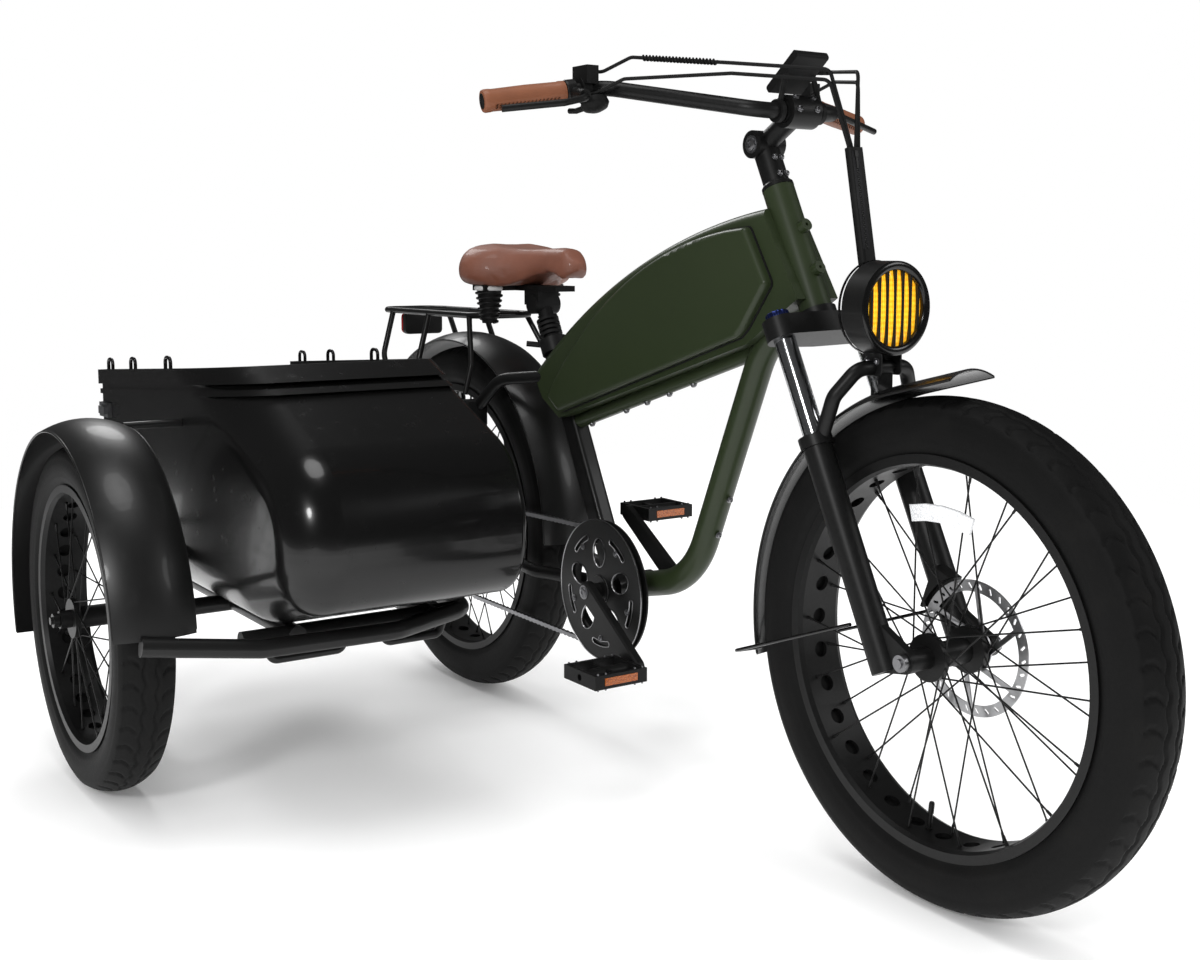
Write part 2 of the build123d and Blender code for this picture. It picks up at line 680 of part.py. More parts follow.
# Bicycle frame
def seat_tube_bar(low_z, high_z, grow=0.0):
    """Rounded box section along the seat tube's line."""
    low, high = on_seat_tube(low_z), on_seat_tube(high_z)
    section = RectangleRounded(SEAT_TUBE_W + 2 * grow, SEAT_TUBE_D + 2 * grow, 8)
    return extrude(Plane(origin=low, x_dir=(0, 1, 0), z_dir=high - low) * section, (high - low).length)


def head_tube_bar(grow=0.0):
    return rod(on_axis(-grow), on_axis(HEAD_LENGTH + grow), HEAD_R + grow)


def low_tube_bar(grow=0.0):
    return rod(on_seat_tube(BB_Z + LOW_TUBE_RISE), on_axis(*LOW_TUBE_FRONT), LOW_TUBE_R + grow)


def down_tube_bar(grow=0.0):
    ahead, above = DOWN_TUBE_KNEE
    points = [BB, BB + Vector(ahead, 0, above), on_axis(*DOWN_TUBE_NECK), on_axis(36)]
    return bent_tube(points, DOWN_TUBE_R + grow, DOWN_TUBE_BEND)


def bb_shell(grow=0.0):
    return pin(BB, BB_HALF, BB_SHELL_R + grow)


def head_tube():
    """Head tube with two threaded bosses on its front for a rack."""
    head = head_tube_bar()
    for height in BOSS_HEIGHTS:
        head += rod(on_axis(height), on_axis(height, HEAD_R + BOSS_REACH), BOSS_R)
    head -= rod(on_axis(-CROWN_LOW), on_axis(HEAD_LENGTH + STEM_RISE), HEAD_BORE_R)
    for height in BOSS_HEIGHTS:
        hole_end = on_axis(height, HEAD_R + 2 * BOSS_REACH)
        head -= rod(on_axis(height, HEAD_R - BOSS_SINK), hole_end, BOSS_HOLE_R)
    return head


def tank_outline():
    """Side outline: arched ridge from tail to nose, then down the head tube and back along the lower tube."""
    foot, heel, tail = (by_seat_tube(*place) for place in TANK_REAR)
    nose, brow, chin = (flat(on_axis(*place)) for place in TANK_FRONT)
    runs = [Line(nose, brow), Line(brow, chin), Line(chin, foot), Line(foot, heel), Line(heel, tail)]
    return make_face([arched(tail, nose, TANK_ARCH), *runs])


def panel_outline():
    """Side panel: the tank's outline, held back from the ridge by a strip and rounded at its corners."""
    points = [by_seat_tube(*place) for place in PANEL_REAR]
    points += [flat(on_axis(*place)) for place in PANEL_FRONT]
    edges = [Line(points[i], points[i + 1]) for i in range(len(points) - 1)]
    edges.append(arched(points[-1], points[0], -PANEL_ARCH))
    return fillet(make_face(edges).vertices(), PANEL_CORNER_R)


def tank():
    """Battery tank, cut away round the tubes it sits on."""
    shape = extrude(Plane.XZ * tank_outline(), TANK_HALF, both=True)
    shape = fillet(shape.edges().filter_by(GeomType.CIRCLE), TANK_EDGE_R)
    seat_cut = seat_tube_bar(BB_Z - BB_SHELL_R, POST_TOP_Z, SEAT_GAP)
    for cut in (head_tube_bar(SEAT_GAP), low_tube_bar(SEAT_GAP), down_tube_bar(SEAT_GAP), seat_cut):
        shape -= cut
    return shape


def tank_panel():
    """Right side panel, a rounded pad on the tank's flank."""
    panel = extrude(Plane.XZ * panel_outline(), PANEL_T)
    panel = fillet(panel.faces().sort_by(Axis.Y)[0].edges(), PANEL_EDGE_R)
    return Pos(0, -TANK_HALF - SEAT_GAP, 0) * panel - head_tube_bar(4)


def seat_tube():
    """Box-section seat tube with a round clamp and its lever at the top."""
    clamp_t = 26.0
    top = on_seat_tube(SEAT_TUBE_TOP_Z)
    middle = top - SEAT_UP * clamp_t / 2
    tube = seat_tube_bar(BB_Z - 4, SEAT_TUBE_TOP_Z) - bb_shell(SEAT_GAP)
    tube += rod(top - SEAT_UP * clamp_t, top, 25)
    tube += rod(middle + Vector(-22, 0, 0), middle + Vector(-40, -34, 4), 5)
    return tube - rod(top - SEAT_UP * 130, top + SEAT_UP * 5, SEAT_POST_R + SEAT_GAP)


def dropout_outline():
    """Axle plate's outline: lobes for the axle, both stays and the derailleur."""
    return hull_of((0, TYRE_R, 20), (34, TYRE_R - 4, 13), (14, TYRE_R + 26, 11), (10, TYRE_R - 34, 11))


def chainstay():
    """Right chainstay with the axle plate at its end."""
    stay = bent_tube(CHAINSTAY, STAY_R, STAY_BEND)
    stay += upright(dropout_outline(), -DROPOUT_Y - DROPOUT_T / 2, DROPOUT_T)
    stay = stay - bb_shell(SEAT_GAP) - seat_tube_bar(BB_Z - BB_SHELL_R, BB_Z + 110, SEAT_GAP)
    return stay - pin(REAR_AXLE, 3 * DROPOUT_Y, AXLE_R + SEAT_GAP)


def seatstay():
    """Right seatstay, arched from the tank's tail down to the axle plate."""
    plate = upright(offset(dropout_outline(), SEAT_GAP), -DROPOUT_Y - DROPOUT_T / 2, DROPOUT_T + 2 * SEAT_GAP)
    tank_block = extrude(Plane.XZ * offset(tank_outline(), SEAT_GAP), TANK_HALF + SEAT_GAP, both=True)
    stay = bent_tube(SEATSTAY, STAY_R, STAY_BEND) - plate - seat_tube_bar(BB_Z + 110, POST_TOP_Z, SEAT_GAP)
    return largest(stay - tank_block)


def axle(place, left_end, right_end, nut_y):
    """Through axle with a nut on each side."""
    bar = rod(place - across(right_end), place + across(left_end), AXLE_R)
    for side in (-1, 1):
        bar += rod(place + across(side * nut_y), place + across(side * (nut_y + NUT_T)), NUT_R)
    return bar


def rear_caliper():
    """Rear brake caliper over the disc's edge, with its lug on the left axle plate."""
    lug_end = DROPOUT_Y - SEAT_GAP
    lug_t = 9.0
    x, z = 66.0, TYRE_R + 38.0
    body = Pos(x, DISC_Y + 7, z) * Rot(0, 30, 0) * Box(34, 22, 58)
    body += upright(hull_of((29, TYRE_R + 17, 4.5), (x - 6, z - 4, 8)), lug_end - lug_t / 2, lug_t)
    return body - pin(REAR_AXLE + across(DISC_Y), CALIPER_GAP / 2, DISC_R + 6)


def frame():
    save("head_tube", head_tube())
    save("down_tube", down_tube_bar() - head_tube_bar(SEAT_GAP) - bb_shell(SEAT_GAP))
    seat_cut = seat_tube_bar(BB_Z, POST_TOP_Z, SEAT_GAP)
    save("lower_tube", low_tube_bar() - seat_cut - down_tube_bar(SEAT_GAP))
    save("tank", tank())
    save("tank_panels", tank_panel(), mirrored(tank_panel()))
    save("seat_tube", seat_tube())
    save("bottom_bracket", bb_shell() - pin(BB, 2 * BB_HALF, SPINDLE_R + BEARING_GAP))
    save("chainstays", chainstay(), mirrored(chainstay()))
    save("seatstays", seatstay(), mirrored(seatstay()))
    save("rear_axle", axle(REAR_AXLE, 98, AXLE_EYE_Y + 12, DROPOUT_Y + DROPOUT_T + SEAT_GAP))
    save("rear_caliper", rear_caliper())


# Saddle, rack and rear fender
def saddle_plan():
    """Pear-shaped plan: a nose and two lobes joined by hollow waists, each arc smooth with the next."""
    nose = Vector(POST_TOP.X + SADDLE_AHEAD - SADDLE_NOSE_R, 0)
    lobe = Vector(POST_TOP.X - SADDLE_BEHIND + SADDLE_LOBE_R, -SADDLE_LOBE_Y)
    along = lobe - nose
    to_nose, to_lobe = SADDLE_WAIST_R + SADDLE_NOSE_R, SADDLE_WAIST_R + SADDLE_LOBE_R
    share = (along.length ** 2 + to_nose ** 2 - to_lobe ** 2) / (2 * along.length)
    off = (to_nose ** 2 - share ** 2) ** 0.5
    unit = along.normalized()
    waist = nose + unit * share + Vector(-unit.Y, unit.X) * off
    tip = nose + (waist - nose).normalized() * SADDLE_NOSE_R
    hip = lobe + (waist - lobe).normalized() * SADDLE_LOBE_R
    hollow = waist + (tip + hip - waist * 2).normalized() * SADDLE_WAIST_R
    back = lobe - Vector(SADDLE_LOBE_R, 0)
    flank = lobe + (hip - lobe + back - lobe).normalized() * SADDLE_LOBE_R
    half = [(tip, hollow, hip), (hip, flank, back)]
    edges = [ThreePointArc(*arc) for arc in half]
    edges += [ThreePointArc(*[Vector(point.X, -point.Y) for point in arc]) for arc in half]
    edges.append(Line(back, Vector(back.X, -back.Y)))
    edges.append(ThreePointArc(tip, nose + Vector(SADDLE_NOSE_R, 0), Vector(tip.X, -tip.Y)))
    return make_face(edges)


def saddle():
    """Broad sprung saddle: deep skirt and a top that dips between the nose and the raised back."""
    dip = Vector(POST_TOP.X + SADDLE_DIP_AHEAD, 0, SADDLE_DIP_Z + SADDLE_SWEEP_R)
    body = extrude(Pos(0, 0, SADDLE_LOW_Z) * saddle_plan(), 2 * (SADDLE_DIP_Z - SADDLE_LOW_Z))
    body -= pin(dip, 4 * SADDLE_LOBE_Y, SADDLE_SWEEP_R)
    body = fillet(body.faces().sort_by(Axis.Z)[-1].edges(), 20)
    return fillet(body.faces().sort_by(Axis.Z)[0].edges(), 7)


def saddle_springs():
    """Pan rails under the saddle, the clamp on the post and two tapered springs at the back."""
    top = SADDLE_LOW_Z - SEAT_GAP
    rail_t = 10.0
    spring_x = POST_TOP.X - SPRING_BEHIND
    clamp = on_seat_tube(POST_TOP_Z - 18)
    rails = Pos(POST_TOP.X - 13, 0, top - rail_t / 2) * Box(190, 40, rail_t)
    rails += Pos(spring_x, 0, top - rail_t / 2) * Box(44, 2 * SPRING_Y + 44, rail_t)
    rails += pin(clamp, 26, 17)
    rails += Pos(on_seat_tube(POST_TOP_Z - 6)) * Box(46, 44, 26)
    for side in (-1, 1):
        rails += Pos(spring_x, side * SPRING_Y, top - 38) * Cone(13, 23, 62)
    return rails - rod(on_seat_tube(POST_TOP_Z - 90), POST_TOP + SEAT_UP * 2, SEAT_POST_R + SEAT_GAP)


def seat_post():
    """Sprung seat post with the folds of its bellows."""
    fold_pitch = 9.0
    fold_t = 5.0
    post = rod(on_seat_tube(SEAT_TUBE_TOP_Z - 100), on_seat_tube(POST_TOP_Z - 4), SEAT_POST_R)
    low = on_seat_tube(SEAT_TUBE_TOP_Z) + SEAT_UP * 8
    for k in range(4):
        fold = low + SEAT_UP * (fold_pitch * k)
        post += rod(fold, fold + SEAT_UP * fold_t, 20)
    return post


def rear_rack():
    """Tube rack: a deck frame with slats, two pairs of legs and braces to the seatstays."""
    deck = [
        (RACK_FRONT_X, 0, RACK_Z), (RACK_FRONT_X, -RACK_HALF, RACK_Z), (RACK_REAR_X, -RACK_HALF, RACK_Z),
        (RACK_REAR_X, 0, RACK_Z),
    ]
    plate_face = -DROPOUT_Y - DROPOUT_T - SEAT_GAP
    leg_y = plate_face - 12
    foot_x, foot_z = RACK_FOOT
    bars = [rod((x, -RACK_HALF, RACK_Z), (x, 0, RACK_Z), SLAT_R) for x in RACK_SLATS]
    for top_x, end_x in RACK_LEGS:
        leg = [(top_x, -RACK_HALF, RACK_Z), (top_x + 8, leg_y + 6, RACK_KNEE_Z), (end_x, leg_y, foot_z)]
        bars.append(bent_tube(leg, RACK_R - 0.5, 40))
    bars.append(rod((RACK_LEGS[0][1] - RACK_R, leg_y, foot_z), (foot_x, leg_y, foot_z), RACK_R))
    bars.append(rod((foot_x, leg_y, foot_z), (foot_x, plate_face, foot_z), SLAT_R))
    x, y, z = SEATSTAY[2]
    brace = [(x - 38, -RACK_HALF, RACK_Z), (x + 12, y - 3, RACK_KNEE_Z), (x + 12, y - 17, z + 41)]
    bars.append(largest(bent_tube(brace, RACK_R - 1, 20) - bent_tube(SEATSTAY, STAY_R + SEAT_GAP, STAY_BEND)))
    half = bent_tube(deck, RACK_R, 40).fuse(*bars)
    return half + mirrored(half)


def tail_lamp():
    top = RACK_Z - SLAT_R - SEAT_GAP
    return Pos(RACK_SLATS[0], 0, top - TAIL_LAMP[2] / 2) * Box(*TAIL_LAMP)


def fender_section(radius, half, drop):
    """Crowned cross-section of a mudguard in (radius, y)."""
    edge, lip = radius - drop, half - 1
    outer = ThreePointArc((edge, -half), (radius, 0), (edge, half))
    inner = ThreePointArc((edge - FENDER_WALL, -lip), (radius - FENDER_WALL, 0), (edge - FENDER_WALL, lip))
    left = Line((edge, half), (edge - FENDER_WALL, lip))
    right = Line((edge - FENDER_WALL, -lip), (edge, -half))
    return make_face([outer, left, inner, right])


def fender(section, start, end):
    """Mudguard strip: the section turned about the wheel's axle from the start to the end angle."""
    return Rot(0, -end, 0) * revolve(section, axis=Axis.Y, revolution_arc=end - start)


def rear_fender():
    """Rear mudguard with the post that hangs it under the rack."""
    strip = Pos(REAR_AXLE) * fender(fender_section(REAR_FENDER_R, REAR_FENDER_HALF, 14), 0, 186)
    x, top = RACK_SLATS[2], RACK_Z - SLAT_R - SEAT_GAP
    post = rod((x, 0, TYRE_R + REAR_FENDER_R - 12), (x, 0, top), SLAT_R)
    return strip + (post - pin(REAR_AXLE, TYRE_W, REAR_FENDER_R - FENDER_WALL / 2 - 0.4))


def back_end():
    save("saddle", saddle())
    save("saddle_springs", saddle_springs())
    save("seat_post", seat_post())
    save("rear_rack", rear_rack())
    save("tail_lamp", tail_lamp())
    save("rear_fender", rear_fender())


# Fork and steering
def leg_bar(low, high, side, radius):
    """Round bar along one fork leg between two depths below the head tube."""
    return rod(on_axis(-low, 0, side * LEG_Y), on_axis(-high, 0, side * LEG_Y), radius)


def fork_crown():
    """Lower head bearing cup, steerer and the bridge that clamps both stanchions."""
    crown = rod(on_axis(-SEAT_GAP), on_axis(-CROWN_LOW), 27)
    plane = Plane(origin=on_axis(-CROWN_LOW), x_dir=(0, 1, 0), z_dir=AXIS_UP)
    crown += extrude(plane * hull_of((LEG_Y, 0, 24), (-LEG_Y, 0, 24), (0, 0, 29)), CROWN_T)
    crown += rod(on_axis(-CROWN_LOW), on_axis(HEAD_LENGTH + STEM_RISE - 30), STEERER_R)
    for side in (-1, 1):
        crown -= leg_bar(CROWN_LOW + 5, 0, side, STANCHION_R + SEAT_GAP)
    return crown


def fork_lowers():
    """Lower legs with seal collars and axle feet, joined by the arch over the tyre."""
    right = [on_axis(height, forward, -side) for height, forward, side in ARCH]
    left = [on_axis(height, forward, side) for height, forward, side in ARCH[::-1]]
    lowers = bent_tube(right + left, ARCH_R, 24)
    foot = flat(on_axis(-LOWER_END + 14))
    knee = flat(on_axis(-LOWER_END + 60.5))
    plate = hull_of((*foot, 14), (*knee, 14), (WHEELBASE, TYRE_R, 15))
    for side in (-1, 1):
        lowers += leg_bar(LOWER_END, LOWER_TOP, side, LEG_R)
        lowers += leg_bar(LOWER_TOP + 16, LOWER_TOP, side, LEG_R + 3)
        lowers += upright(plate, side * LEG_Y, 12)
    for side in (-1, 1):
        lowers -= leg_bar(LOWER_TOP + 100, CROWN_LOW, side, STANCHION_R + SEAT_GAP)
    return lowers - pin(FRONT_AXLE, 3 * LEG_Y, AXLE_R + SEAT_GAP)


def front_fender():
    """Front mudguard with a raised flap, its bracket under the fork's arch and a wire stay to each leg."""
    flap_angle = 104.0
    bracket_x, bracket_y, bracket_z = 14.0, 26.0, 46.0
    section = fender_section(FRONT_FENDER_R, FRONT_FENDER_HALF, 11)
    strip = fender(section, flap_angle, 192)
    flap = Rot(0, -flap_angle, 0) * extrude(section, -FENDER_FLAP)
    guard = Pos(FRONT_AXLE) * (strip + flap)
    mount = on_axis(*ARCH[-1][:2])
    bracket = Pos(mount - Vector(0, 0, bracket_z / 2)) * Box(bracket_x, bracket_y, bracket_z)
    bracket -= pin(mount, LEG_Y, ARCH_R + SEAT_GAP)
    holders = [bracket - pin(FRONT_AXLE, LEG_Y, FRONT_FENDER_R - FENDER_WALL / 2)]
    out = LEG_Y + LEG_R + 4
    leg = on_axis(-LOWER_END + 70) - AXIS_FORWARD * 14
    for side in (-1, 1):
        low = round_axle(FRONT_AXLE, FRONT_FENDER_R - 10, 190.5, side * 30)
        bend = round_axle(FRONT_AXLE, FRONT_FENDER_R - 34, 189.4, side * out)
        holders.append(bent_tube([low, bend, leg + across(side * out)], 2.5, 15))
    return guard.fuse(*holders)


def front_caliper():
    """Front brake caliper on the back of the left leg."""
    caliper = Pos(FRONT_AXLE + Vector(-66, FRONT_DISC_Y + 7, 62)) * Rot(0, 20, 0) * Box(34, 22, 62)
    caliper -= pin(FRONT_AXLE + across(FRONT_DISC_Y), CALIPER_GAP / 2, DISC_R + 6)
    return largest(caliper - leg_bar(LOWER_END + 50, LOWER_TOP, 1, LEG_R + SEAT_GAP))


def bar_point(index, side):
    """Corner of the handlebar's middle line."""
    x, y, z = BAR_POINTS[index]
    return BAR_CENTRE + Vector(x, side * y, z)


def along_grip(side, y, forward=0.0, up=0.0):
    """Point on the outer run of the bar at a distance from the middle plane."""
    inner, outer = bar_point(2, side), bar_point(3, side)
    share = (y - BAR_POINTS[2][1]) / (BAR_POINTS[3][1] - BAR_POINTS[2][1])
    return inner + (outer - inner) * share + Vector(forward, 0, up)


def bar_core(side):
    """The bar itself, grown by the seat gap, to bore out what is clamped on it."""
    return rod(along_grip(side, BAR_POINTS[2][1]), along_grip(side, 1.2 * BAR_HALF), BAR_R + SEAT_GAP)


def handlebar():
    """Swept-back bar with a thick middle for the stem."""
    corners = [bar_point(index, -1) for index in (3, 2, 1)] + [bar_point(index, 1) for index in (1, 2, 3)]
    return bent_tube(corners, BAR_R, BAR_BEND) + pin(BAR_CENTRE, 30, BAR_CLAMP_R)


def grip(side):
    return rod(along_grip(side, GRIP_START), along_grip(side, BAR_HALF - 0.5), GRIP_R) - bar_core(side)


def brake_lever(side):
    """Clamp, housing and a bent lever blade ahead of the grip."""
    clamp = rod(along_grip(side, LEVER_AT - 6), along_grip(side, LEVER_AT + 6), 17)
    housing = rod(along_grip(side, LEVER_AT, 6, -2), along_grip(side, LEVER_AT, 40, -9), LEVER_HOUSING_R)
    blade = [
        along_grip(side, LEVER_AT, 12, -4), along_grip(side, LEVER_AT + 1, 52, -12),
        along_grip(side, LEVER_AT + 40, 58, -16), along_grip(side, LEVER_AT + 122, 44, -14),
    ]
    return clamp + housing + bent_tube(blade, 5, 12) - bar_core(side)


def control_pod(side):
    """Switch pod on the bar beside the lever."""
    pod = rod(along_grip(side, POD_AT - 6.5), along_grip(side, POD_AT + 6.5), 19)
    return pod + Pos(along_grip(side, POD_AT, 4, 20)) * Box(38, 20, 26) - bar_core(side)


def stem():
    """Stem: collar on the steerer, tilting knuckle and the clamp round the bar."""
    pivot = on_axis(HEAD_LENGTH + STEM_RISE)
    body = rod(on_axis(HEAD_LENGTH + SEAT_GAP), pivot, 19)
    body += pin(pivot, 24, 20)
    body += rod(pivot, BAR_CENTRE, 15)
    body += pin(BAR_CENTRE, 26, 23)
    body -= pin(BAR_CENTRE, 60, BAR_CLAMP_R + SEAT_GAP)
    return body - rod(on_axis(HEAD_LENGTH - 5), on_axis(HEAD_LENGTH + STEM_RISE - 29), STEERER_R + SEAT_GAP)


def display():
    """Tilted screen on two posts clamped to the bar beside the stem."""
    screen = Pos(BAR_CENTRE + Vector(-2, 0, 54)) * Rot(0, -38, 0) * Box(76, 58, 12)
    screen = fillet(screen.edges().filter_by(Axis.Y), 4)
    for side in (-1, 1):
        clamp = rod(BAR_CENTRE + across(side * 33.5), BAR_CENTRE + across(side * 41), 16)
        screen += clamp - pin(BAR_CENTRE, 80, BAR_R + SEAT_GAP)
        screen += rod(BAR_CENTRE + Vector(4, side * 35.5, 14), BAR_CENTRE + Vector(2, side * 24, 54), 4)
    return screen


def cables():
    """Hoses and wires from both grips over the bar's front into one sleeve that hangs down to the lamp."""
    sleeve_top = BAR_CENTRE + Vector(92, SLEEVE_SIDE, -54)
    sleeve_foot = LAMP_CENTRE + Vector(-LAMP_DEPTH / 2 - 7, SLEEVE_SIDE, 9)
    plane = Plane(origin=sleeve_top, x_dir=(0, 1, 0), z_dir=sleeve_foot - sleeve_top)
    bundle = extrude(plane * RectangleRounded(27, 15, 7), (sleeve_foot - sleeve_top).length)
    back = LAMP_CENTRE - Vector(LAMP_DEPTH / 2 + SEAT_GAP, 0, 0)
    bundle -= rod(back, LAMP_CENTRE, LAMP_R)
    for side in (-1, 1):
        hose = along_grip(side, LEVER_AT - LEVER_HOUSING_R - SEAT_GAP, 26, -6)
        wire = along_grip(side, POD_AT - 10 - SEAT_GAP, 8, 24)
        for start, lift, y in ((hose, 0.0, 9.0), (wire, 14.0, 4.0)):
            points = [
                start, start - across(side * 14), start + Vector(30, -side * 44, 20),
                BAR_CENTRE + Vector(-30, side * 95, 50 + lift), BAR_CENTRE + Vector(92, side * 26, 34 + lift),
                sleeve_top + Vector(0, side * y, 2), sleeve_top + Vector(0, side * y, -20),
            ]
            bundle += bent_tube(points, CABLE_R, CABLE_BEND)
    return bundle


def head_lamp():
    """Round lamp on the fork's arch: bowl with its bracket, and an upright slotted grille in its bezel."""
    half = LAMP_DEPTH / 2
    inner_r = LAMP_R - LAMP_WALL
    back_r, shoulder_r = 32.0, 48.0
    back, shoulder, side = (LAMP_CENTRE - Vector(depth, 0, 0) for depth in (half, half - 10, half - 22))
    front = LAMP_CENTRE + Vector(half, 0, 0)
    bowl = Solid.make_cone(shoulder_r, LAMP_R, 12, Plane(origin=shoulder, z_dir=(1, 0, 0)))
    bowl += Solid.make_cone(back_r, shoulder_r, 10, Plane(origin=back, z_dir=(1, 0, 0)))
    bowl += rod(side, front, LAMP_R)
    bowl -= rod(LAMP_CENTRE + Vector(2, 0, 0), front + Vector(5, 0, 0), inner_r)
    foot = on_axis(*ARCH[-1][:2])
    bracket = rod(foot, LAMP_CENTRE - Vector(16, 0, 45), 7.5) - pin(foot, LEG_Y, ARCH_R + SEAT_GAP)
    ring_r = inner_r - SEAT_GAP
    grille = Circle(ring_r) - Circle(ring_r - 7)
    for k in range(-3, 4):
        y = k * GRILLE_PITCH
        grille += Pos(y, 0) * Rectangle(GRILLE_BAR, 2 * ((ring_r - 5) ** 2 - y ** 2) ** 0.5)
    plane = Plane(origin=LAMP_CENTRE + Vector(half - GRILLE_T - 2, 0, 0), x_dir=(0, 1, 0), z_dir=(1, 0, 0))
    return bowl + bracket, extrude(plane * grille, GRILLE_T)


def head_lamp_lens():
    """Amber lens disc right behind the grille."""
    back = LAMP_CENTRE + Vector(LAMP_DEPTH / 2 - GRILLE_T - 11, 0, 0)
    return rod(back, back + Vector(8, 0, 0), LAMP_R - LAMP_WALL - SEAT_GAP)


def steering():
    sides = (-1, 1)
    save("fork_crown", fork_crown())
    tube_top = CROWN_LOW - CROWN_T - 2
    save("fork_stanchions", *[leg_bar(LOWER_TOP + 90, tube_top, side, STANCHION_R) for side in sides])
    save("fork_lowers", fork_lowers())
    save("front_axle", axle(FRONT_AXLE, LEG_Y + 18, LEG_Y + 18, LEG_Y + 6 + SEAT_GAP))
    save("front_fender", front_fender())
    save("front_caliper", front_caliper())
    save("handlebar", handlebar())
    save("grips", *[grip(side) for side in sides])
    save("brake_levers", *[brake_lever(side) for side in sides])
    save("control_pods", *[control_pod(side) for side in sides])
    save("stem", stem())
    save("display", display())
    save("cables", cables())
    save("head_lamp", *head_lamp())
    save("head_lamp_lens", head_lamp_lens())


# Sidecar
def inset_corners(points, insets):
    """Corners of a clockwise outline after each run has moved inwards by its own distance."""
    lines = []
    for i, (x0, z0) in enumerate(points):
        x1, z1 = points[(i + 1) % len(points)]
        span = hypot(x1 - x0, z1 - z0)
        a, b = (z1 - z0) / span, (x0 - x1) / span
        lines.append((a, b, a * x0 + b * z0 + insets[i]))
    corners = []
    for (a, b, c), (d, e, f) in zip(lines[-1:] + lines[:-1], lines):
        scale = a * e - b * d
        corners.append(((c * e - b * f) / scale, (a * f - c * d) / scale))
    return corners


def tub_block(inset, rise=0.0, back=0.0):
    """Solid within the tub's skin moved inwards by inset; rise and back push out its open top and rear."""
    outline = [
        (TUB_REAR_X, TUB_RIM_REAR_Z), TUB_RIM_FRONT, TUB_NOSE, TUB_CHIN, TUB_BELLY, (TUB_REAR_X, TUB_FLOOR_Z)
    ]
    corners = inset_corners(outline, (-rise, inset, inset, inset, inset, -back))
    face = make_face(Polyline(*corners, close=True))
    for corner, radius in zip(corners[2:5], (TUB_NOSE_R, TUB_CHIN_R, TUB_BELLY_R)):
        face = fillet(face.vertices().sort_by_distance((*corner, 0))[0], radius - inset)
    width = TUB_LEFT_Y - TUB_RIGHT_Y - 2 * inset
    block = Pos(0, TUB_LEFT_Y - inset, 0) * extrude(Plane.XZ * face, width)
    for side, radius in ((0, TUB_RIGHT_EDGE_R), (-1, TUB_LEFT_EDGE_R)):
        edges = block.faces().sort_by(Axis.Y)[side].edges()
        low = TUB_REAR_X - back + 1
        skin = [edge for edge in edges if edge.center().X > low and not on_top(edge, rise)]
        block = fillet(skin, radius - inset)
    return block


def rim_height(x):
    """Height of the tub's upper edge at a distance along the vehicle."""
    slope = (TUB_RIM_FRONT[1] - TUB_RIM_REAR_Z) / (TUB_RIM_FRONT[0] - TUB_REAR_X)
    return TUB_RIM_REAR_Z + slope * (x - TUB_REAR_X)


def on_top(edge, rise):
    """Whether an edge lies in the plane of the tub's upper edge."""
    middle = edge.center()
    return middle.Z > rim_height(middle.X) + rise - 1


def rim_slab(low, high):
    """Layer parallel to the tub's upper edge, between two heights from it."""
    front = TUB_NOSE[0]
    corners = [(TUB_REAR_X, rim_height(TUB_REAR_X)), (front, rim_height(front))]
    points = [(x, z + high) for x, z in corners] + [(x, z + low) for x, z in corners[::-1]]
    return extrude(Plane.XZ * make_face(Polyline(*points, close=True)), SIDE_REACH)


def tub():
    """Open tub: one skin with a rounded nose and right side, open at the top and at the tailgate."""
    reach = 20 * TUB_WALL
    return tub_block(0) - tub_block(TUB_WALL, reach, reach)


def tub_rim():
    """Rolled lip over the tub's edge with tie-down hoops, and a bead below it."""
    reach = 20 * TUB_WALL
    lip = tub_block(-RIM_LIP, RIM_LIP_UP) & rim_slab(-RIM_LIP_DOWN, RIM_LIP_UP)
    lip -= tub_block(TUB_WALL + RIM_LIP / 2, reach, reach)
    lip -= tub_block(-SEAT_GAP, SEAT_GAP, reach)
    bead = (tub_block(-BEAD_OUT) & rim_slab(*BEAD_SPAN)) - tub_block(-SEAT_GAP, reach, reach)
    for x in HOOP_XS:
        for y in (TUB_LEFT_Y - TUB_WALL / 2, TUB_RIGHT_Y + TUB_WALL / 2):
            foot = rim_height(x) + RIM_LIP_UP / 2
            points = [(x, y, foot), (x, y, foot + 24), (x + 26, y, foot + 24), (x + 26, y, foot)]
            lip += bent_tube(points, HOOP_R, 9)
    return lip, bead


def hinge_ys():
    """Side places of the tailgate's hinges."""
    return [TUB_RIGHT_Y + share * (TUB_LEFT_Y - TUB_RIGHT_Y) for share in GATE_HINGES]


def hinge_bar(y, start, end, radius):
    """Round bar on the tailgate's pin line."""
    return rod((GATE_PIN_X, y + start, GATE_PIN_Z), (GATE_PIN_X, y + end, GATE_PIN_Z), radius)


def tailgate():
    """Drop-down rear panel with a pressed recess and two hinge barrels below it."""
    width = TUB_LEFT_Y - TUB_RIGHT_Y - 4
    height = TUB_RIM_REAR_Z - TUB_FLOOR_Z
    middle = Vector(TUB_REAR_X - SEAT_GAP, (TUB_LEFT_Y + TUB_RIGHT_Y) / 2, TUB_FLOOR_Z + height / 2 + 2)
    plane = Plane(origin=middle, x_dir=(0, -1, 0), z_dir=(-1, 0, 0))
    face = Rectangle(width, height)
    face = fillet(face.vertices().sort_by_distance((width, -height, 0))[0], TUB_RIGHT_EDGE_R)
    panel = extrude(plane * face, GATE_T)
    recess = Pos(middle - Vector(GATE_T, 0, 0)) * Box(8, width - 110, height - 90)
    panel -= recess
    for y in hinge_ys():
        panel += hinge_bar(y, -22, 22, GATE_PIN_R + 4)
        panel += Pos(GATE_PIN_X + 3, y, GATE_PIN_Z + 9) * Box(6, 44, 18)
        panel -= hinge_bar(y, -60, 60, GATE_PIN_R + BEARING_GAP)
    return panel


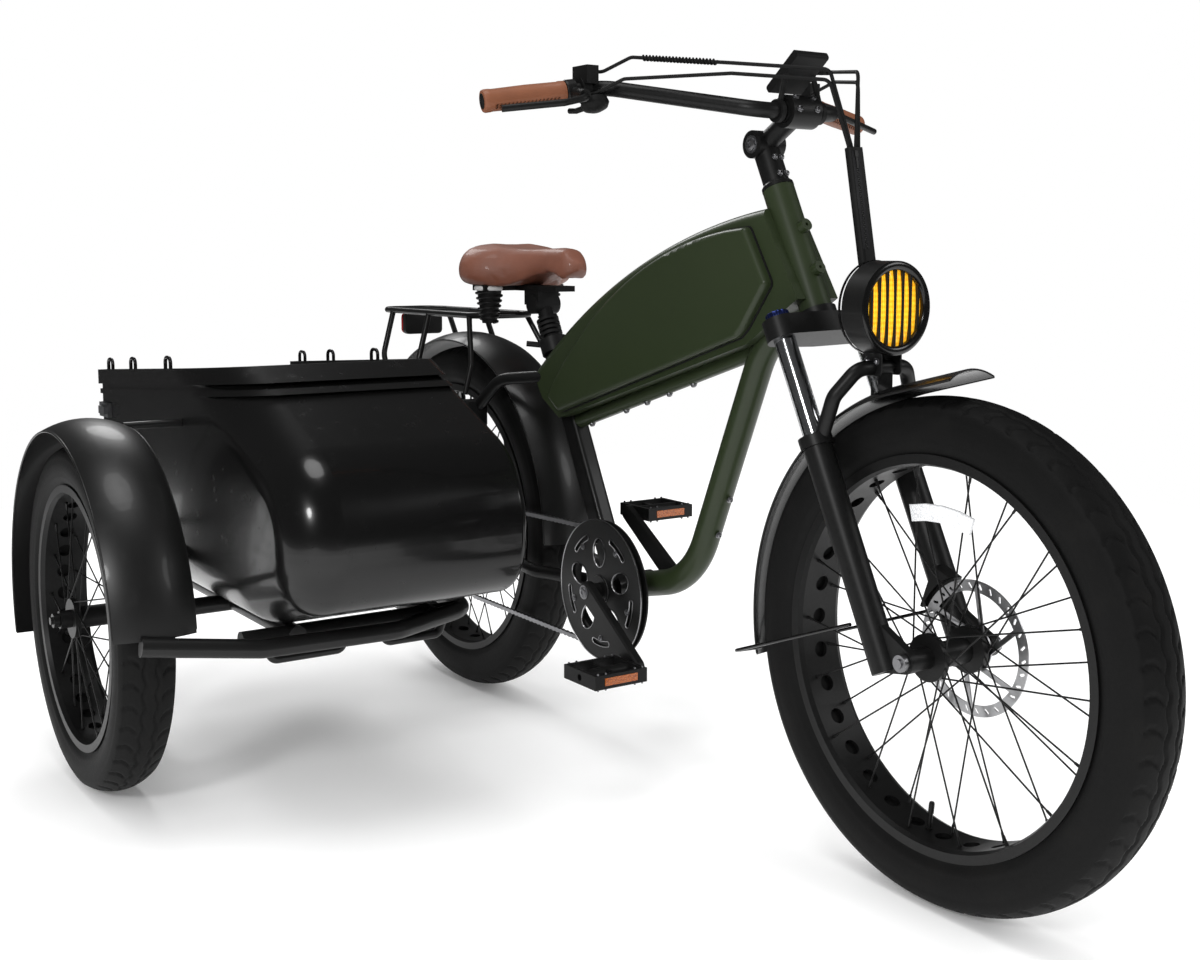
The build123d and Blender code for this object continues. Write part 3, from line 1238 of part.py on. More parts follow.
def tailgate_fittings():
    """Hinge pins with their lugs under the tub's floor, and a draw latch on each wall."""
    fittings = []
    for y in hinge_ys():
        hinge = hinge_bar(y, -40, 40, GATE_PIN_R)
        for side in (-1, 1):
            hinge += hinge_bar(y, side * 28, side * 40, GATE_PIN_R + 3)
            hinge += Pos(GATE_PIN_X + 22, y + side * 34, TUB_FLOOR_Z - SEAT_GAP - 3) * Box(40, 12, 6)
        fittings.append(hinge)
    latch_z = TUB_RIM_REAR_Z - LATCH_DROP
    for y, out in ((TUB_RIGHT_Y, -1), (TUB_LEFT_Y, 1)):
        latch = Pos(TUB_REAR_X + 26, y + out * (4 + SEAT_GAP), latch_z) * Box(50, 8, 26)
        latch += Pos(TUB_REAR_X + 32, y + out * (9 + SEAT_GAP), latch_z) * Box(34, 10, 14)
        fittings.append(latch)
    return fittings


def front_bar(grow=0.0):
    return bent_tube(FRONT_BAR, RAIL_R + grow, FRONT_BAR_BEND)


def sidecar_chassis():
    """Tubular chassis below the tub: rails, cross tubes, steps and the bowed front bar with its open end."""
    chassis = front_bar()
    for y in RAIL_YS:
        chassis += rod((CROSS_XS[0] - 20, y, RAIL_Z), (RAIL_END_X, y, RAIL_Z), RAIL_R)
    for x in CROSS_XS:
        chassis += rod((x, CROSS_LEFT_Y, RAIL_Z), (x, CROSS_RIGHT_Y, RAIL_Z), RAIL_R)
    x, low = CROSS_XS[2], RAIL_Z - STEP_DROP
    for start, end in STEPS:
        points = [(x, start, RAIL_Z), (x, start - 14, low), (x, end + 14, low), (x, end, RAIL_Z)]
        chassis += bent_tube(points, STEP_R, 12)
    return chassis


def sidecar_axle():
    """Arm from the chassis to the hub, the stub axle with its nut, and a brace up to the tub's wall."""
    shoulder = SIDE_AXLE + across(SIDE_HUB_HALF + 4)
    root = Vector(SIDE_LEAD, CROSS_RIGHT_Y - SEAT_GAP, RAIL_Z)
    arm = rod(root + across(4), shoulder, AXLE_ARM_R) - beyond(root.Y, 1)
    arm += rod(shoulder, SIDE_AXLE - across(SIDE_REACH - TRACK), AXLE_R)
    nut = SIDE_AXLE - across(SIDE_HUB_HALF + 1)
    arm += rod(nut, nut - across(NUT_T), NUT_R)
    brace = rod(shoulder + Vector(0, 10, 6), Vector(SIDE_LEAD, TUB_RIGHT_Y + 8, SIDE_TYRE_R + 95), 8)
    return arm + (brace - beyond(TUB_RIGHT_Y - SEAT_GAP, 1))


def side_fender():
    """Sidecar mudguard, resting on the front bar's end, with two stays to the tub."""
    guard = Pos(SIDE_AXLE) * fender(fender_section(SIDE_FENDER_R, SIDE_FENDER_HALF, 16), 5, 196)
    inner_y = SIDE_FENDER_HALF - TRACK
    for x, z in ((SIDE_LEAD - 278, SIDE_TYRE_R + 87), (SIDE_LEAD, SIDE_TYRE_R + SIDE_FENDER_R - 15)):
        guard += rod((x, inner_y - 8, z), (x, TUB_RIGHT_Y - SEAT_GAP, z), 6)
    return guard - front_bar(SEAT_GAP)


def sidecar_links():
    """Tubes that tie the sidecar to the bicycle: at the chainstay, the rear axle and the seatstay."""
    cross_end = CROSS_LEFT_Y - 9
    stay = run_point(CHAINSTAY, 2, CROSS_XS[1])
    low = rod((stay.X, cross_end, RAIL_Z), stay + Vector(0, -8, -23), LINK_R)
    low += Pos(stay + Vector(0, -6, -9)) * Box(40, 34, 44)
    low -= bent_tube(CHAINSTAY, STAY_R + SEAT_GAP, STAY_BEND)
    eye = REAR_AXLE - across(AXLE_EYE_Y)
    back = rod((CROSS_XS[0] - 9, cross_end, RAIL_Z - 8), eye, LINK_R)
    back += rod(eye - across(7), eye + across(5), 15)
    back -= pin(eye, 60, AXLE_R + SEAT_GAP)
    back -= Pos(eye + across(35)) * Box(120, 60, 120)
    low, back = (link - beyond(CROSS_LEFT_Y + SEAT_GAP, -1) for link in (low, back))
    grip_place = Vector(*SEATSTAY[2]) + Vector(12, -1, 8)
    wall = Vector(grip_place.X, TUB_LEFT_Y - 9, TUB_RIM_REAR_Z - 80)
    high = rod(wall, grip_place, LINK_R)
    high += rod(wall, wall + across(16), 30)
    high += Pos(grip_place) * Box(44, 36, 44)
    high -= bent_tube(SEATSTAY, STAY_R + SEAT_GAP, STAY_BEND)
    return low, back, high - beyond(TUB_LEFT_Y + SEAT_GAP, -1)


def sidecar():
    save("tub", tub())
    save("tub_rim", *tub_rim())
    save("tailgate", tailgate())
    save("tailgate_fittings", *tailgate_fittings())
    save("sidecar_chassis", sidecar_chassis())
    save("sidecar_axle", sidecar_axle())
    save("side_fender", side_fender())
    save("sidecar_links", *sidecar_links())


if __name__ == "__main__":
    wheels()
    crankset()
    frame()
    back_end()
    steering()
    sidecar()
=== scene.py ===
# %% [markdown]
# # Electric bicycle with a sidecar
# This lesson dresses a finished CAD model: every tube, wheel and panel is already in place, in metres, and
# each one belongs to a body that moves (the frame, the steering, three wheels, the cranks, the pedals and a
# tailgate). Here we give the pieces their materials, add the small things that are too fine for CAD, and set
# up a studio with the camera where the photographer stood.

# %% load the frame
import bpy
import bmesh
import json
import math
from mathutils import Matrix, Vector


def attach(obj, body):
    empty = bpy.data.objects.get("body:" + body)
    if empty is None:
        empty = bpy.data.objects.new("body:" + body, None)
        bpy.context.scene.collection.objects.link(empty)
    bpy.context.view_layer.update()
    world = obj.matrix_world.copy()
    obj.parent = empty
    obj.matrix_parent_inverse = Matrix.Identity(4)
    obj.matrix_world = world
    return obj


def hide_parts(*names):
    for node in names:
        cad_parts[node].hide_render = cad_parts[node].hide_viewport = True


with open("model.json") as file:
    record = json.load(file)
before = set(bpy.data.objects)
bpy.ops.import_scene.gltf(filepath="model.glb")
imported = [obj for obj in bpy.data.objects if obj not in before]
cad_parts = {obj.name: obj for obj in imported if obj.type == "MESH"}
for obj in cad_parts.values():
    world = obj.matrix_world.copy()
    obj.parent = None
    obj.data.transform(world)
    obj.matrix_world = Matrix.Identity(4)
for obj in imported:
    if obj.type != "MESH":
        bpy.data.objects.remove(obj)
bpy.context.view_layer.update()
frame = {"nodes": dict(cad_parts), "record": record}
nodes = frame["nodes"]
print("CAD nodes:", len(nodes))

# %% [markdown]
# ## A small shading language
# Shader graphs are easier to read as sums. `Value` wraps one output socket, so that `a * 2 + b` makes the
# Math nodes by itself. `Graph.node` makes any other node: its type, then its settings, then its inputs.


# %% shader helpers
class Value:
    """One socket of a shader graph that understands + - * and a few functions."""

    def __init__(self, graph, socket):
        self.graph, self.socket = graph, socket

    def __add__(self, other):
        return self.graph.math("ADD", self, other)

    def __radd__(self, other):
        return self.graph.math("ADD", other, self)

    def __sub__(self, other):
        return self.graph.math("SUBTRACT", self, other)

    def __rsub__(self, other):
        return self.graph.math("SUBTRACT", other, self)

    def __mul__(self, other):
        return self.graph.math("MULTIPLY", self, other)

    def __rmul__(self, other):
        return self.graph.math("MULTIPLY", other, self)

    def sin(self):
        return self.graph.math("SINE", self)

    def step(self, low, high):
        """0 below low, 1 above high, smooth between."""
        settings = {"interpolation_type": "SMOOTHSTEP"}
        inputs = {"Value": self, "From Min": low, "From Max": high}
        return self.graph.node("ShaderNodeMapRange", settings, inputs)


class Graph:
    """A material or a world under construction, with one shader at its end."""

    def __init__(self, name, kind="materials", shader="Principled BSDF"):
        self.material = getattr(bpy.data, kind).new(name)
        self.material.use_nodes = True
        self.tree = self.material.node_tree
        self.shader = self.tree.nodes[shader]

    def link(self, value, socket):
        if isinstance(value, Value):
            self.tree.links.new(value.socket, socket)
        elif socket.type == "RGBA":
            socket.default_value = (*value, 1.0)
        else:
            socket.default_value = value

    def node(self, kind, settings=None, inputs=None, output=0):
        """Any node: its type, its settings, what goes into its sockets, and the output that is wanted."""
        made = self.tree.nodes.new(kind)
        for key, value in (settings or {}).items():
            setattr(made, key, value)
        for key, value in (inputs or {}).items():
            self.link(value, made.inputs[key])
        return Value(self, made.outputs[output])

    def math(self, operation, *values):
        return self.node("ShaderNodeMath", {"operation": operation}, dict(enumerate(values)))

    def position(self):
        return self.node("ShaderNodeTexCoord", output="Object")

    def axis(self, letter):
        return self.node("ShaderNodeSeparateXYZ", None, {"Vector": self.position()}, letter)

    def noise(self, scale, detail=4.0, roughness=0.55, stretch=(1, 1, 1)):
        place = self.node("ShaderNodeMapping", None, {"Vector": self.position(), "Scale": stretch})
        inputs = {"Vector": place, "Scale": scale, "Detail": detail, "Roughness": roughness}
        return self.node("ShaderNodeTexNoise", None, inputs)

    def cells(self, scale, feature="F1"):
        inputs = {"Vector": self.position(), "Scale": scale}
        return self.node("ShaderNodeTexVoronoi", {"feature": feature}, inputs)

    def mix(self, share, first, second):
        return self.node("ShaderNodeMix", {"data_type": "RGBA"}, {0: share, 6: first, 7: second}, 2)

    def bump(self, height, strength, distance):
        inputs = {"Height": height, "Strength": strength, "Distance": distance}
        return self.node("ShaderNodeBump", None, inputs)

    def finish(self, **inputs):
        for key, value in inputs.items():
            self.link(value, self.shader.inputs[key.replace("_", " ")])
        return self.material


# %% [markdown]
# ## Paint and lacquer
# The bicycle's front half is satin dark green, the tub is gloss black and two mudguards are satin black. Real
# paint is never one value: a broad noise drifts its colour and roughness, a fine one gives the orange-peel
# skin.


# %% paints
def paint(name, dark, light, rough, coat, peel=0.04, mirror=0.28):
    g = Graph(name)
    drift = g.noise(3.5, 3)
    skin = g.noise(420, 2)
    dust = g.noise(38, 6).step(0.52, 0.78)
    return g.finish(
        Base_Color=g.mix(drift, dark, light),
        Roughness=rough + drift * 0.06 + dust * 0.07,
        Coat_Weight=coat,
        Coat_Roughness=0.08,
        Specular_IOR_Level=mirror,
        Normal=g.bump(skin, peel, 0.0004),
    )


looks = {
    "green_paint": paint("green_paint", (0.016, 0.025, 0.009), (0.026, 0.037, 0.015), 0.38, 0.18),
    "black_paint": paint("black_paint", (0.005, 0.005, 0.005), (0.009, 0.009, 0.009), 0.36, 0.12),
    "gloss_black": paint("gloss_black", (0.002, 0.002, 0.002), (0.005, 0.005, 0.005), 0.2, 0.3, 0.02),
    "satin_black": paint("satin_black", (0.003, 0.003, 0.003), (0.007, 0.007, 0.007), 0.36, 0.12, 0.03, 0.5),
}
print("paints:", ", ".join(looks))

# %% [markdown]
# ## Metals, rubber and plastics
# A metal gets its look from roughness: a brushed one has noise drawn out along one direction, an anodised one
# a fine grain. Rubber and plastic are dark and matt, with a little dust where the noise peaks.


# %% metals and plastics
def metal(name, dark, light, rough, stretch=(1, 1, 1), scale=60, grain=0.05, metallic=1.0):
    g = Graph(name)
    streak = g.noise(scale, 5, 0.6, stretch)
    wear = g.noise(9, 4)
    return g.finish(
        Base_Color=g.mix(streak, dark, light),
        Roughness=rough + streak * 0.12 + wear * 0.06,
        Metallic=metallic,
        Normal=g.bump(streak, grain, 0.0005),
    )


def soft(name, dark, light, rough, scale, grain):
    g = Graph(name)
    pores = g.noise(scale, 4)
    dust = g.noise(14, 5).step(0.48, 0.8)
    return g.finish(
        Base_Color=g.mix(dust * 0.6, dark, light),
        Roughness=rough + pores * 0.12 + dust * 0.08,
        Specular_IOR_Level=0.18,
        Normal=g.bump(pores, grain, 0.0008),
    )


looks.update(
    chrome=metal("chrome", (0.62, 0.63, 0.65), (0.75, 0.76, 0.78), 0.05, grain=0.01),
    steel=metal("steel", (0.2, 0.2, 0.21), (0.34, 0.34, 0.35), 0.28),
    disc_steel=metal("disc_steel", (0.36, 0.36, 0.37), (0.52, 0.52, 0.53), 0.22, (1, 8, 1), 160),
    black_alloy=metal("black_alloy", (0.008,) * 3, (0.018,) * 3, 0.34, scale=240, metallic=0.6),
    blue_alloy=metal("blue_alloy", (0.012, 0.02, 0.09), (0.025, 0.04, 0.17), 0.22, scale=240, metallic=0.9),
    tyre_rubber=soft("tyre_rubber", (0.003, 0.003, 0.003), (0.009, 0.0085, 0.008), 0.58, 260, 0.25),
    black_plastic=soft("black_plastic", (0.006, 0.006, 0.006), (0.014, 0.014, 0.014), 0.5, 520, 0.15),
    pale_plastic=soft("pale_plastic", (0.5, 0.5, 0.5), (0.62, 0.61, 0.6), 0.45, 300, 0.1),
    sleeve_cloth=soft("sleeve_cloth", (0.012, 0.012, 0.013), (0.03, 0.03, 0.03), 0.8, 900, 0.6),
)

# %% [markdown]
# ## Leather, lens and reflectors
# The saddle and grips are brown leather: Voronoi cells make the pebbled grain. The lamp's lens glows a warm
# amber behind its grille, with the fine flutes of pressed glass, and the reflectors carry a honeycomb. The
# white reflector's faint glow is painted light, since a reflector gives none of its own.


# %% leather and lenses
FLUTE_RATE, RIB_RATE = 2100, 900  # radians a metre across and up the lamp's lens


def leather(name, dark, light, grain):
    g = Graph(name)
    cells = g.cells(grain)
    tone = g.noise(22, 6)
    wear = g.noise(5, 3).step(0.45, 0.75)
    return g.finish(
        Base_Color=g.mix(tone * 0.7 + wear * 0.3, dark, light),
        Roughness=0.48 + tone * 0.16,
        Coat_Weight=0.1 + wear * 0.08,
        Normal=g.bump(cells, 0.3, 0.0005),
    )


def reflector(name, colour, deep, glow):
    g = Graph(name)
    comb = g.cells(260, "DISTANCE_TO_EDGE").step(0.0, 0.12)
    tint = g.mix(comb, deep, colour)
    return g.finish(
        Base_Color=tint,
        Roughness=0.12 + comb * 0.1,
        Coat_Weight=0.6,
        Emission_Color=tint,
        Emission_Strength=glow,
        Normal=g.bump(comb, 0.4, 0.0006),
    )


def fluted_glass(name, colour, deep, glow):
    g = Graph(name)
    upright, level = (g.axis("Y") * FLUTE_RATE).sin(), (g.axis("Z") * RIB_RATE).sin()
    flutes = upright * 0.35 + level * 0.2 + g.noise(90, 3) * 0.7
    tint = g.mix(flutes.step(-0.2, 0.9), deep, colour)
    return g.finish(
        Base_Color=tint,
        Roughness=0.16,
        Coat_Weight=0.5,
        Emission_Color=tint,
        Emission_Strength=glow,
        Normal=g.bump(flutes, 0.5, 0.0008),
    )


looks.update(
    brown_leather=leather("brown_leather", (0.13, 0.042, 0.023), (0.23, 0.08, 0.045), 380),
    brown_grip=leather("brown_grip", (0.15, 0.046, 0.016), (0.27, 0.085, 0.03), 420),
    brown_thread=soft("brown_thread", (0.05, 0.018, 0.009), (0.09, 0.035, 0.018), 0.7, 900, 0.3),
    amber_lens=fluted_glass("amber_lens", (1.0, 0.6, 0.03), (0.85, 0.3, 0.004), 0.65),
    amber_reflector=reflector("amber_reflector", (0.42, 0.1, 0.008), (0.2, 0.04, 0.003), 0.0),
    # the white reflector's emission of 0.1 is a painted glow: a reflector gives off no light of its own
    white_reflector=reflector("white_reflector", (0.85, 0.86, 0.87), (0.6, 0.61, 0.63), 0.1),
    red_lens=reflector("red_lens", (0.4, 0.01, 0.01), (0.16, 0.004, 0.004), 0.02),
    screen_glass=paint("screen_glass", (0.004, 0.005, 0.007), (0.008, 0.01, 0.012), 0.05, 1.0, 0.0),
)
satin_nodes = ("side_fender", "rear_fender")
for part in frame["record"]["subparts"]:
    mesh = nodes[part["node"]].data
    mesh.materials.clear()
    mesh.materials.append(looks["satin_black" if part["node"] in satin_nodes else part["material_slot"]])
print("materials:", len(looks))

# %% [markdown]
# ## Places
# The maker's drawing counts in millimetres from the floor below the rear axle, and so do we. Heights on the
# steering are easier to give along its tilted axis, so there is a helper for that, and one for points round
# an axle.

# %% places
DRAWING_ORIGIN = Vector((608.0, -248.5, 0.0))
HEAD_TILT = math.radians(63.5)
HEAD_FOOT = Vector((983.298, 0.0, 763.0))
AXIS_UP = Vector((-math.cos(HEAD_TILT), 0.0, math.sin(HEAD_TILT)))
AXIS_AHEAD = Vector((math.sin(HEAD_TILT), 0.0, math.cos(HEAD_TILT)))
X, Y, Z = Vector((1, 0, 0)), Vector((0, 1, 0)), Vector((0, 0, 1))


def on_axis(height, ahead=0.0, side=0.0):
    """Point by height along the steering axis, reach ahead of it, and side."""
    return HEAD_FOOT + AXIS_UP * height + AXIS_AHEAD * ahead + Y * side


def to_metres(point):
    return (point - DRAWING_ORIGIN) / 1000


def to_drawing(point):
    return point * 1000 + DRAWING_ORIGIN


def round_axle(axle, radius, angle, side=0.0):
    """Point at a radius from an axle, its angle counted from straight ahead towards the top."""
    return axle + Vector((radius * math.cos(angle), side, radius * math.sin(angle)))


# %% [markdown]
# ## The shape builder
# `Shape` collects points in the drawing's millimetres and turns them into metres only when the piece is made.
# Almost every small fitting is one of three things: something turned on a lathe, a tube along a line, or a
# plate with softened edges.


# %% the shape builder
class Shape:
    """Points and faces of one piece, in the drawing's millimetres."""

    def __init__(self):
        self.points, self.faces = [], []

    def strip(self, rings, loop=False):
        """Skin over closed rings of equal length; the ends get caps unless the rings run in a loop."""
        start, count = len(self.points), len(rings[0])
        for ring in rings:
            self.points += ring
        for i in range(len(rings) if loop else len(rings) - 1):
            a, b = start + i * count, start + (i + 1) % len(rings) * count
            self.faces += [(a + k, a + (k + 1) % count, b + (k + 1) % count, b + k) for k in range(count)]
        if not loop:
            self.faces.append(tuple(range(start, start + count))[::-1])
            self.faces.append(tuple(range(len(self.points) - count, len(self.points))))

    def turned(self, place, axis, profile, sides=20, loop=False, lobes=0, depth=0.0):
        """Lathe work: profile gives (distance along the axis, radius); lobes scallop its rim."""
        axis = axis.normalized()
        u = axis.orthogonal().normalized()
        v = axis.cross(u)
        rings = []
        for along, radius in profile:
            ring = []
            for k in range(sides):
                a = math.tau * k / sides
                r = radius * (1 - depth * (0.5 + 0.5 * math.cos(lobes * a))) if lobes else radius
                ring.append(place + axis * along + (u * math.cos(a) + v * math.sin(a)) * r)
            rings.append(ring)
        self.strip(rings, loop)

    def tube(self, path, radius, sides=8, loop=False):
        """Round section carried along a line of points without twisting."""
        u, rings = None, []
        for i, here in enumerate(path):
            before = path[i - 1] if loop or i else here
            after = path[(i + 1) % len(path)] if loop or i + 1 < len(path) else here
            along = (after - before).normalized()
            u = along.orthogonal() if u is None else u - along * u.dot(along)
            u.normalize()
            v = along.cross(u)
            turns = [math.tau * k / sides for k in range(sides)]
            rings.append([here + (u * math.cos(a) + v * math.sin(a)) * radius for a in turns])
        self.strip(rings, loop)

    def plate(self, place, across, up, outline, thickness, edge=0.8):
        """Flat outline of (across, up) points as a plate about its middle plane, edges broken by edge."""
        normal = across.cross(up)
        size = max(max(abs(x), abs(y)) for x, y in outline)
        rings = []
        for depth, inset in ((-0.5, edge), (-0.5, 0), (0.5, 0), (0.5, edge)):
            shrink = 1 - inset / size
            level = depth * thickness + (edge if inset == 0 else 0) * (1 if depth < 0 else -1)
            rings.append([place + (across * x + up * y) * shrink + normal * level for x, y in outline])
        self.strip(rings)

    def bolt(self, place, axis, radius, height):
        """Button head with a socket, on a thin washer."""
        washer = [(-0.5, radius * 1.3), (0.25 * height, radius * 1.3)]
        head = [(0.45 * height, radius), (0.75 * height, radius * 0.94), (height, radius * 0.62)]
        socket = [(height, radius * 0.45), (0.5 * height, radius * 0.42)]
        self.turned(place, axis, washer + [(0.25 * height, radius)] + head + socket, 14)

    def make(self, name, look, body, slot, sharp=35):
        mesh = bpy.data.meshes.new(name)
        mesh.from_pydata([to_metres(p) for p in self.points], [], self.faces)
        grid = bmesh.new()
        grid.from_mesh(mesh)
        bmesh.ops.recalc_face_normals(grid, faces=grid.faces)
        grid.to_mesh(mesh)
        grid.free()
        mesh.shade_smooth()
        mesh.set_sharp_from_angle(angle=math.radians(sharp))
        mesh.materials.append(looks[look])
        piece = bpy.data.objects.new(name, mesh)
        bpy.context.scene.collection.objects.link(piece)
        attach(piece, body)
        print(name, len(mesh.polygons), "faces on", body)
        return piece


def rounded(width, height, corner, steps=5):
    """Outline of a rectangle with round corners about its middle."""
    points = []
    for quarter, (sx, sy) in enumerate(((1, 1), (-1, 1), (-1, -1), (1, -1))):
        for k in range(steps + 1):
            a = math.pi / 2 * (quarter + k / steps)
            x = sx * (width / 2 - corner) + corner * math.cos(a)
            points.append((x, sy * (height / 2 - corner) + corner * math.sin(a)))
    return points


# %% [markdown]
# ## Tyres
# The fat tyres have a smooth rounded crown with a pair of wavy grooves and curved slots cut into each
# shoulder. The tread is real geometry: a fine grid over the CAD tyre's own section, pushed inwards where a
# groove passes. A bump map could do it too, but the outline of the tyre would stay smooth.


# %% tyres
TYRE_R, RIM_R, SIDE_TYRE_R, SIDE_RIM_R = 332, 260, 275, 209.5
FRONT_AXLE, REAR_AXLE = Vector((1244, 0, TYRE_R)), Vector((0, 0, TYRE_R))
SIDE_AXLE = Vector((186, -785, SIDE_TYRE_R))
TREAD_WAVES, TREAD_STEPS = 56, 620  # round the bicycle's tyres
SIDE_WAVES, SIDE_STEPS = 46, 510  # round the sidecar's tyre
GROOVE_DEPTH = 2.4
TYRE_HALF, TYRE_SEAT_HALF, TREAD_HALF = 43.0, 34.7, 38.0


def arc_points(start, middle, end, count):
    """Points on the circle through three points."""
    (ax, ay), (bx, by), (cx, cy) = start, middle, end
    d = 2 * (ax * (by - cy) + bx * (cy - ay) + cx * (ay - by))
    a2, b2, c2 = ax * ax + ay * ay, bx * bx + by * by, cx * cx + cy * cy
    ux = (a2 * (by - cy) + b2 * (cy - ay) + c2 * (ay - by)) / d
    uy = (a2 * (cx - bx) + b2 * (ax - cx) + c2 * (bx - ax)) / d
    radius = math.hypot(ax - ux, ay - uy)
    t0, tm, t1 = (math.atan2(y - uy, x - ux) for x, y in (start, middle, end))
    span = (t1 - t0) % math.tau
    if (tm - t0) % math.tau > span:
        span -= math.tau
    turns = [t0 + span * k / (count - 1) for k in range(count)]
    return [(ux + radius * math.cos(t), uy + radius * math.sin(t)) for t in turns]


def smooth(value, low, high):
    share = min(1.0, max(0.0, (value - low) / (high - low)))
    return share * share * (3 - 2 * share)


def groove(turn, y, waves):
    """How deep the tread is cut, 0 to 1, at a share of a turn and a distance from the middle."""
    off = abs(y)
    phase = (turn * waves + (0.5 if y > 0 else 0)) % 1.0
    line = 1 - smooth(abs(off - 9.5 - 2.2 * math.sin(math.tau * phase)), 1.3, 2.6)
    bend = 0.5 + 0.22 * math.sin((off - 16) / 21 * math.pi) + (off - 16) * 0.006
    slot = 1 - smooth(abs(phase - bend), 0.06, 0.11)
    slot *= smooth(off, 15, 18) * (1 - smooth(off, 35.5, 38))
    return max(line, slot)


def treaded_tyre(name, axle, outer_r, rim_r, body, waves, segments):
    bead, shoulder, belly = (TYRE_SEAT_HALF, rim_r + 1), outer_r - 13, (rim_r + outer_r) / 2
    wall = arc_points(bead, (TYRE_HALF, belly), (TREAD_HALF, shoulder), 15)
    wall = [(y + (0.9 if k in (3, 12) else 0), r) for k, (y, r) in enumerate(wall)]
    crown = arc_points((TREAD_HALF, shoulder), (0, outer_r), (-TREAD_HALF, shoulder), 41)
    seat = [(TYRE_SEAT_HALF, rim_r - 8), *wall]
    section = seat + crown[1:-1] + [(-y, r) for y, r in seat[::-1]]
    low, high = len(seat), len(seat) + len(crown) - 2
    rings = []
    for i in range(segments):
        turn = i / segments
        ring = []
        for k, (y, r) in enumerate(section):
            cut = GROOVE_DEPTH * groove(turn, y, waves) if low <= k < high else 0.0
            ring.append(round_axle(axle, r - cut, math.tau * turn, y))
        rings.append(ring)
    shape = Shape()
    shape.strip(rings, loop=True)
    piece = shape.make(name, "tyre_rubber", body, "tyre_rubber", 60)
    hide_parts(name.replace("_tread", ""))


treaded_tyre("front_tyre_tread", FRONT_AXLE, TYRE_R, RIM_R, "front_wheel", TREAD_WAVES, TREAD_STEPS)
treaded_tyre("rear_tyre_tread", REAR_AXLE, TYRE_R, RIM_R, "rear_wheel", TREAD_WAVES, TREAD_STEPS)
treaded_tyre("side_tyre_tread", SIDE_AXLE, SIDE_TYRE_R, SIDE_RIM_R, "side_wheel", SIDE_WAVES, SIDE_STEPS)

# %% [markdown]
# ## Nipples, valves and the wheel reflector
# Each of the spokes ends in a small nipple on the rim, and each rim has one valve. A pale reflector is
# clipped across the front wheel's spokes. These are the little things that make a wheel read as a wheel.

# %% wheel fittings
SPOKES_A_SIDE, SPOKE_ROW, SPOKE_STAGGER = 18, 18.0, 2.4
HUB_FLANGE = (27, 36, 60)  # radius, distance from the middle, lead of the spokes in degrees
MOTOR_FLANGE = (88, 37, 25)


def wheel_fittings(name, axle, rim_r, flange, body, valve_angle):
    flange_r, flange_y, lead = flange
    shape = Shape()
    end_r = rim_r - 16
    for side in (-1, 1):
        for k in range(SPOKES_A_SIDE):
            turn = 1 if k % 2 else -1
            at_hub = math.tau / SPOKES_A_SIDE * (k + (side + 1) / 4)
            start = round_axle(axle, flange_r, at_hub, side * flange_y + turn * SPOKE_STAGGER)
            row = side * SPOKE_ROW + turn * SPOKE_STAGGER
            end = round_axle(axle, end_r, at_hub + turn * math.radians(lead), row)
            along = (end - start).normalized()
            shape.turned(end, -along, [(-1, 2.6), (1.5, 2.6), (2.5, 2.0), (12, 1.8), (13, 1.3)], 8)
    root = round_axle(axle, end_r, valve_angle)
    inward = (axle - root).normalized()
    profile = [(-2, 4.5), (2, 4.5), (2.5, 3), (22, 3), (22.5, 3.8), (36, 3.8), (38, 3)]
    shape.turned(root, inward, profile, 12)
    shape.make(name, "black_alloy", body, "black_alloy")


wheel_fittings("front_nipples", FRONT_AXLE, RIM_R, HUB_FLANGE, "front_wheel", math.radians(264))
wheel_fittings("rear_nipples", REAR_AXLE, RIM_R, MOTOR_FLANGE, "rear_wheel", math.radians(100))
wheel_fittings("side_nipples", SIDE_AXLE, SIDE_RIM_R, HUB_FLANGE, "side_wheel", math.radians(200))

# %% wheel reflector
REFLECTOR_LOW, REFLECTOR_HIGH, REFLECTOR_SIDE = 174, 196, -27
reflector_shape = Shape()
turns = [math.radians(angle) for angle in (72, 80, 88, 96, 104)]
outline = [round_axle(FRONT_AXLE, REFLECTOR_LOW, a, REFLECTOR_SIDE) for a in turns]
outline += [round_axle(FRONT_AXLE, REFLECTOR_HIGH, a, REFLECTOR_SIDE) for a in turns[::-1]]
middle = sum(outline, Vector()) / len(outline)
levels = ((0.94, -3.5), (1, -2), (1, 2), (0.94, 3.5))  # share of the outline, place across
rings = [[middle + (p - middle) * share + Y * y for p in outline] for share, y in levels]
reflector_shape.strip(rings)
reflector_shape.make("wheel_reflector", "white_reflector", "front_wheel", "chrome")

# %% [markdown]
# ## Saddle
# The saddle is a moulded foam pad under a leather cover: two broad lobes at the back that run into a narrow
# nose, a top that dips in the middle, and a skirt whose lower edge lifts ahead of the springs. It is lofted
# from cross-sections, then blown up a little as cloth so that the cover sits taut and crowned over the foam.

# %% saddle
SADDLE_REAR, SADDLE_NOSE = 112.0, 384.0
SADDLE_LOW, SADDLE_DIP, SADDLE_DIP_X, SADDLE_SWEEP = 786.0, 848.0, 290.0, 900.0
SADDLE_HALF_SECTION = (
    (0.0, 0.03), (0.45, 0.03), (0.78, 0.0), (0.92, 0.07), (0.985, 0.2), (1.0, 0.38), (0.975, 0.56),
    (0.9, 0.74), (0.77, 0.88), (0.58, 0.96), (0.34, 0.99), (0.12, 1.0),
)  # share of the half width, share of the height
LOBE_X, LOBE_SIDE, LOBE_R, LOBE_END = 166, 60, 54, 206.5
WAIST_X, WAIST_SIDE, WAIST_R = 356.5, 228, 200
NOSE_X, NOSE_R = 356, 28


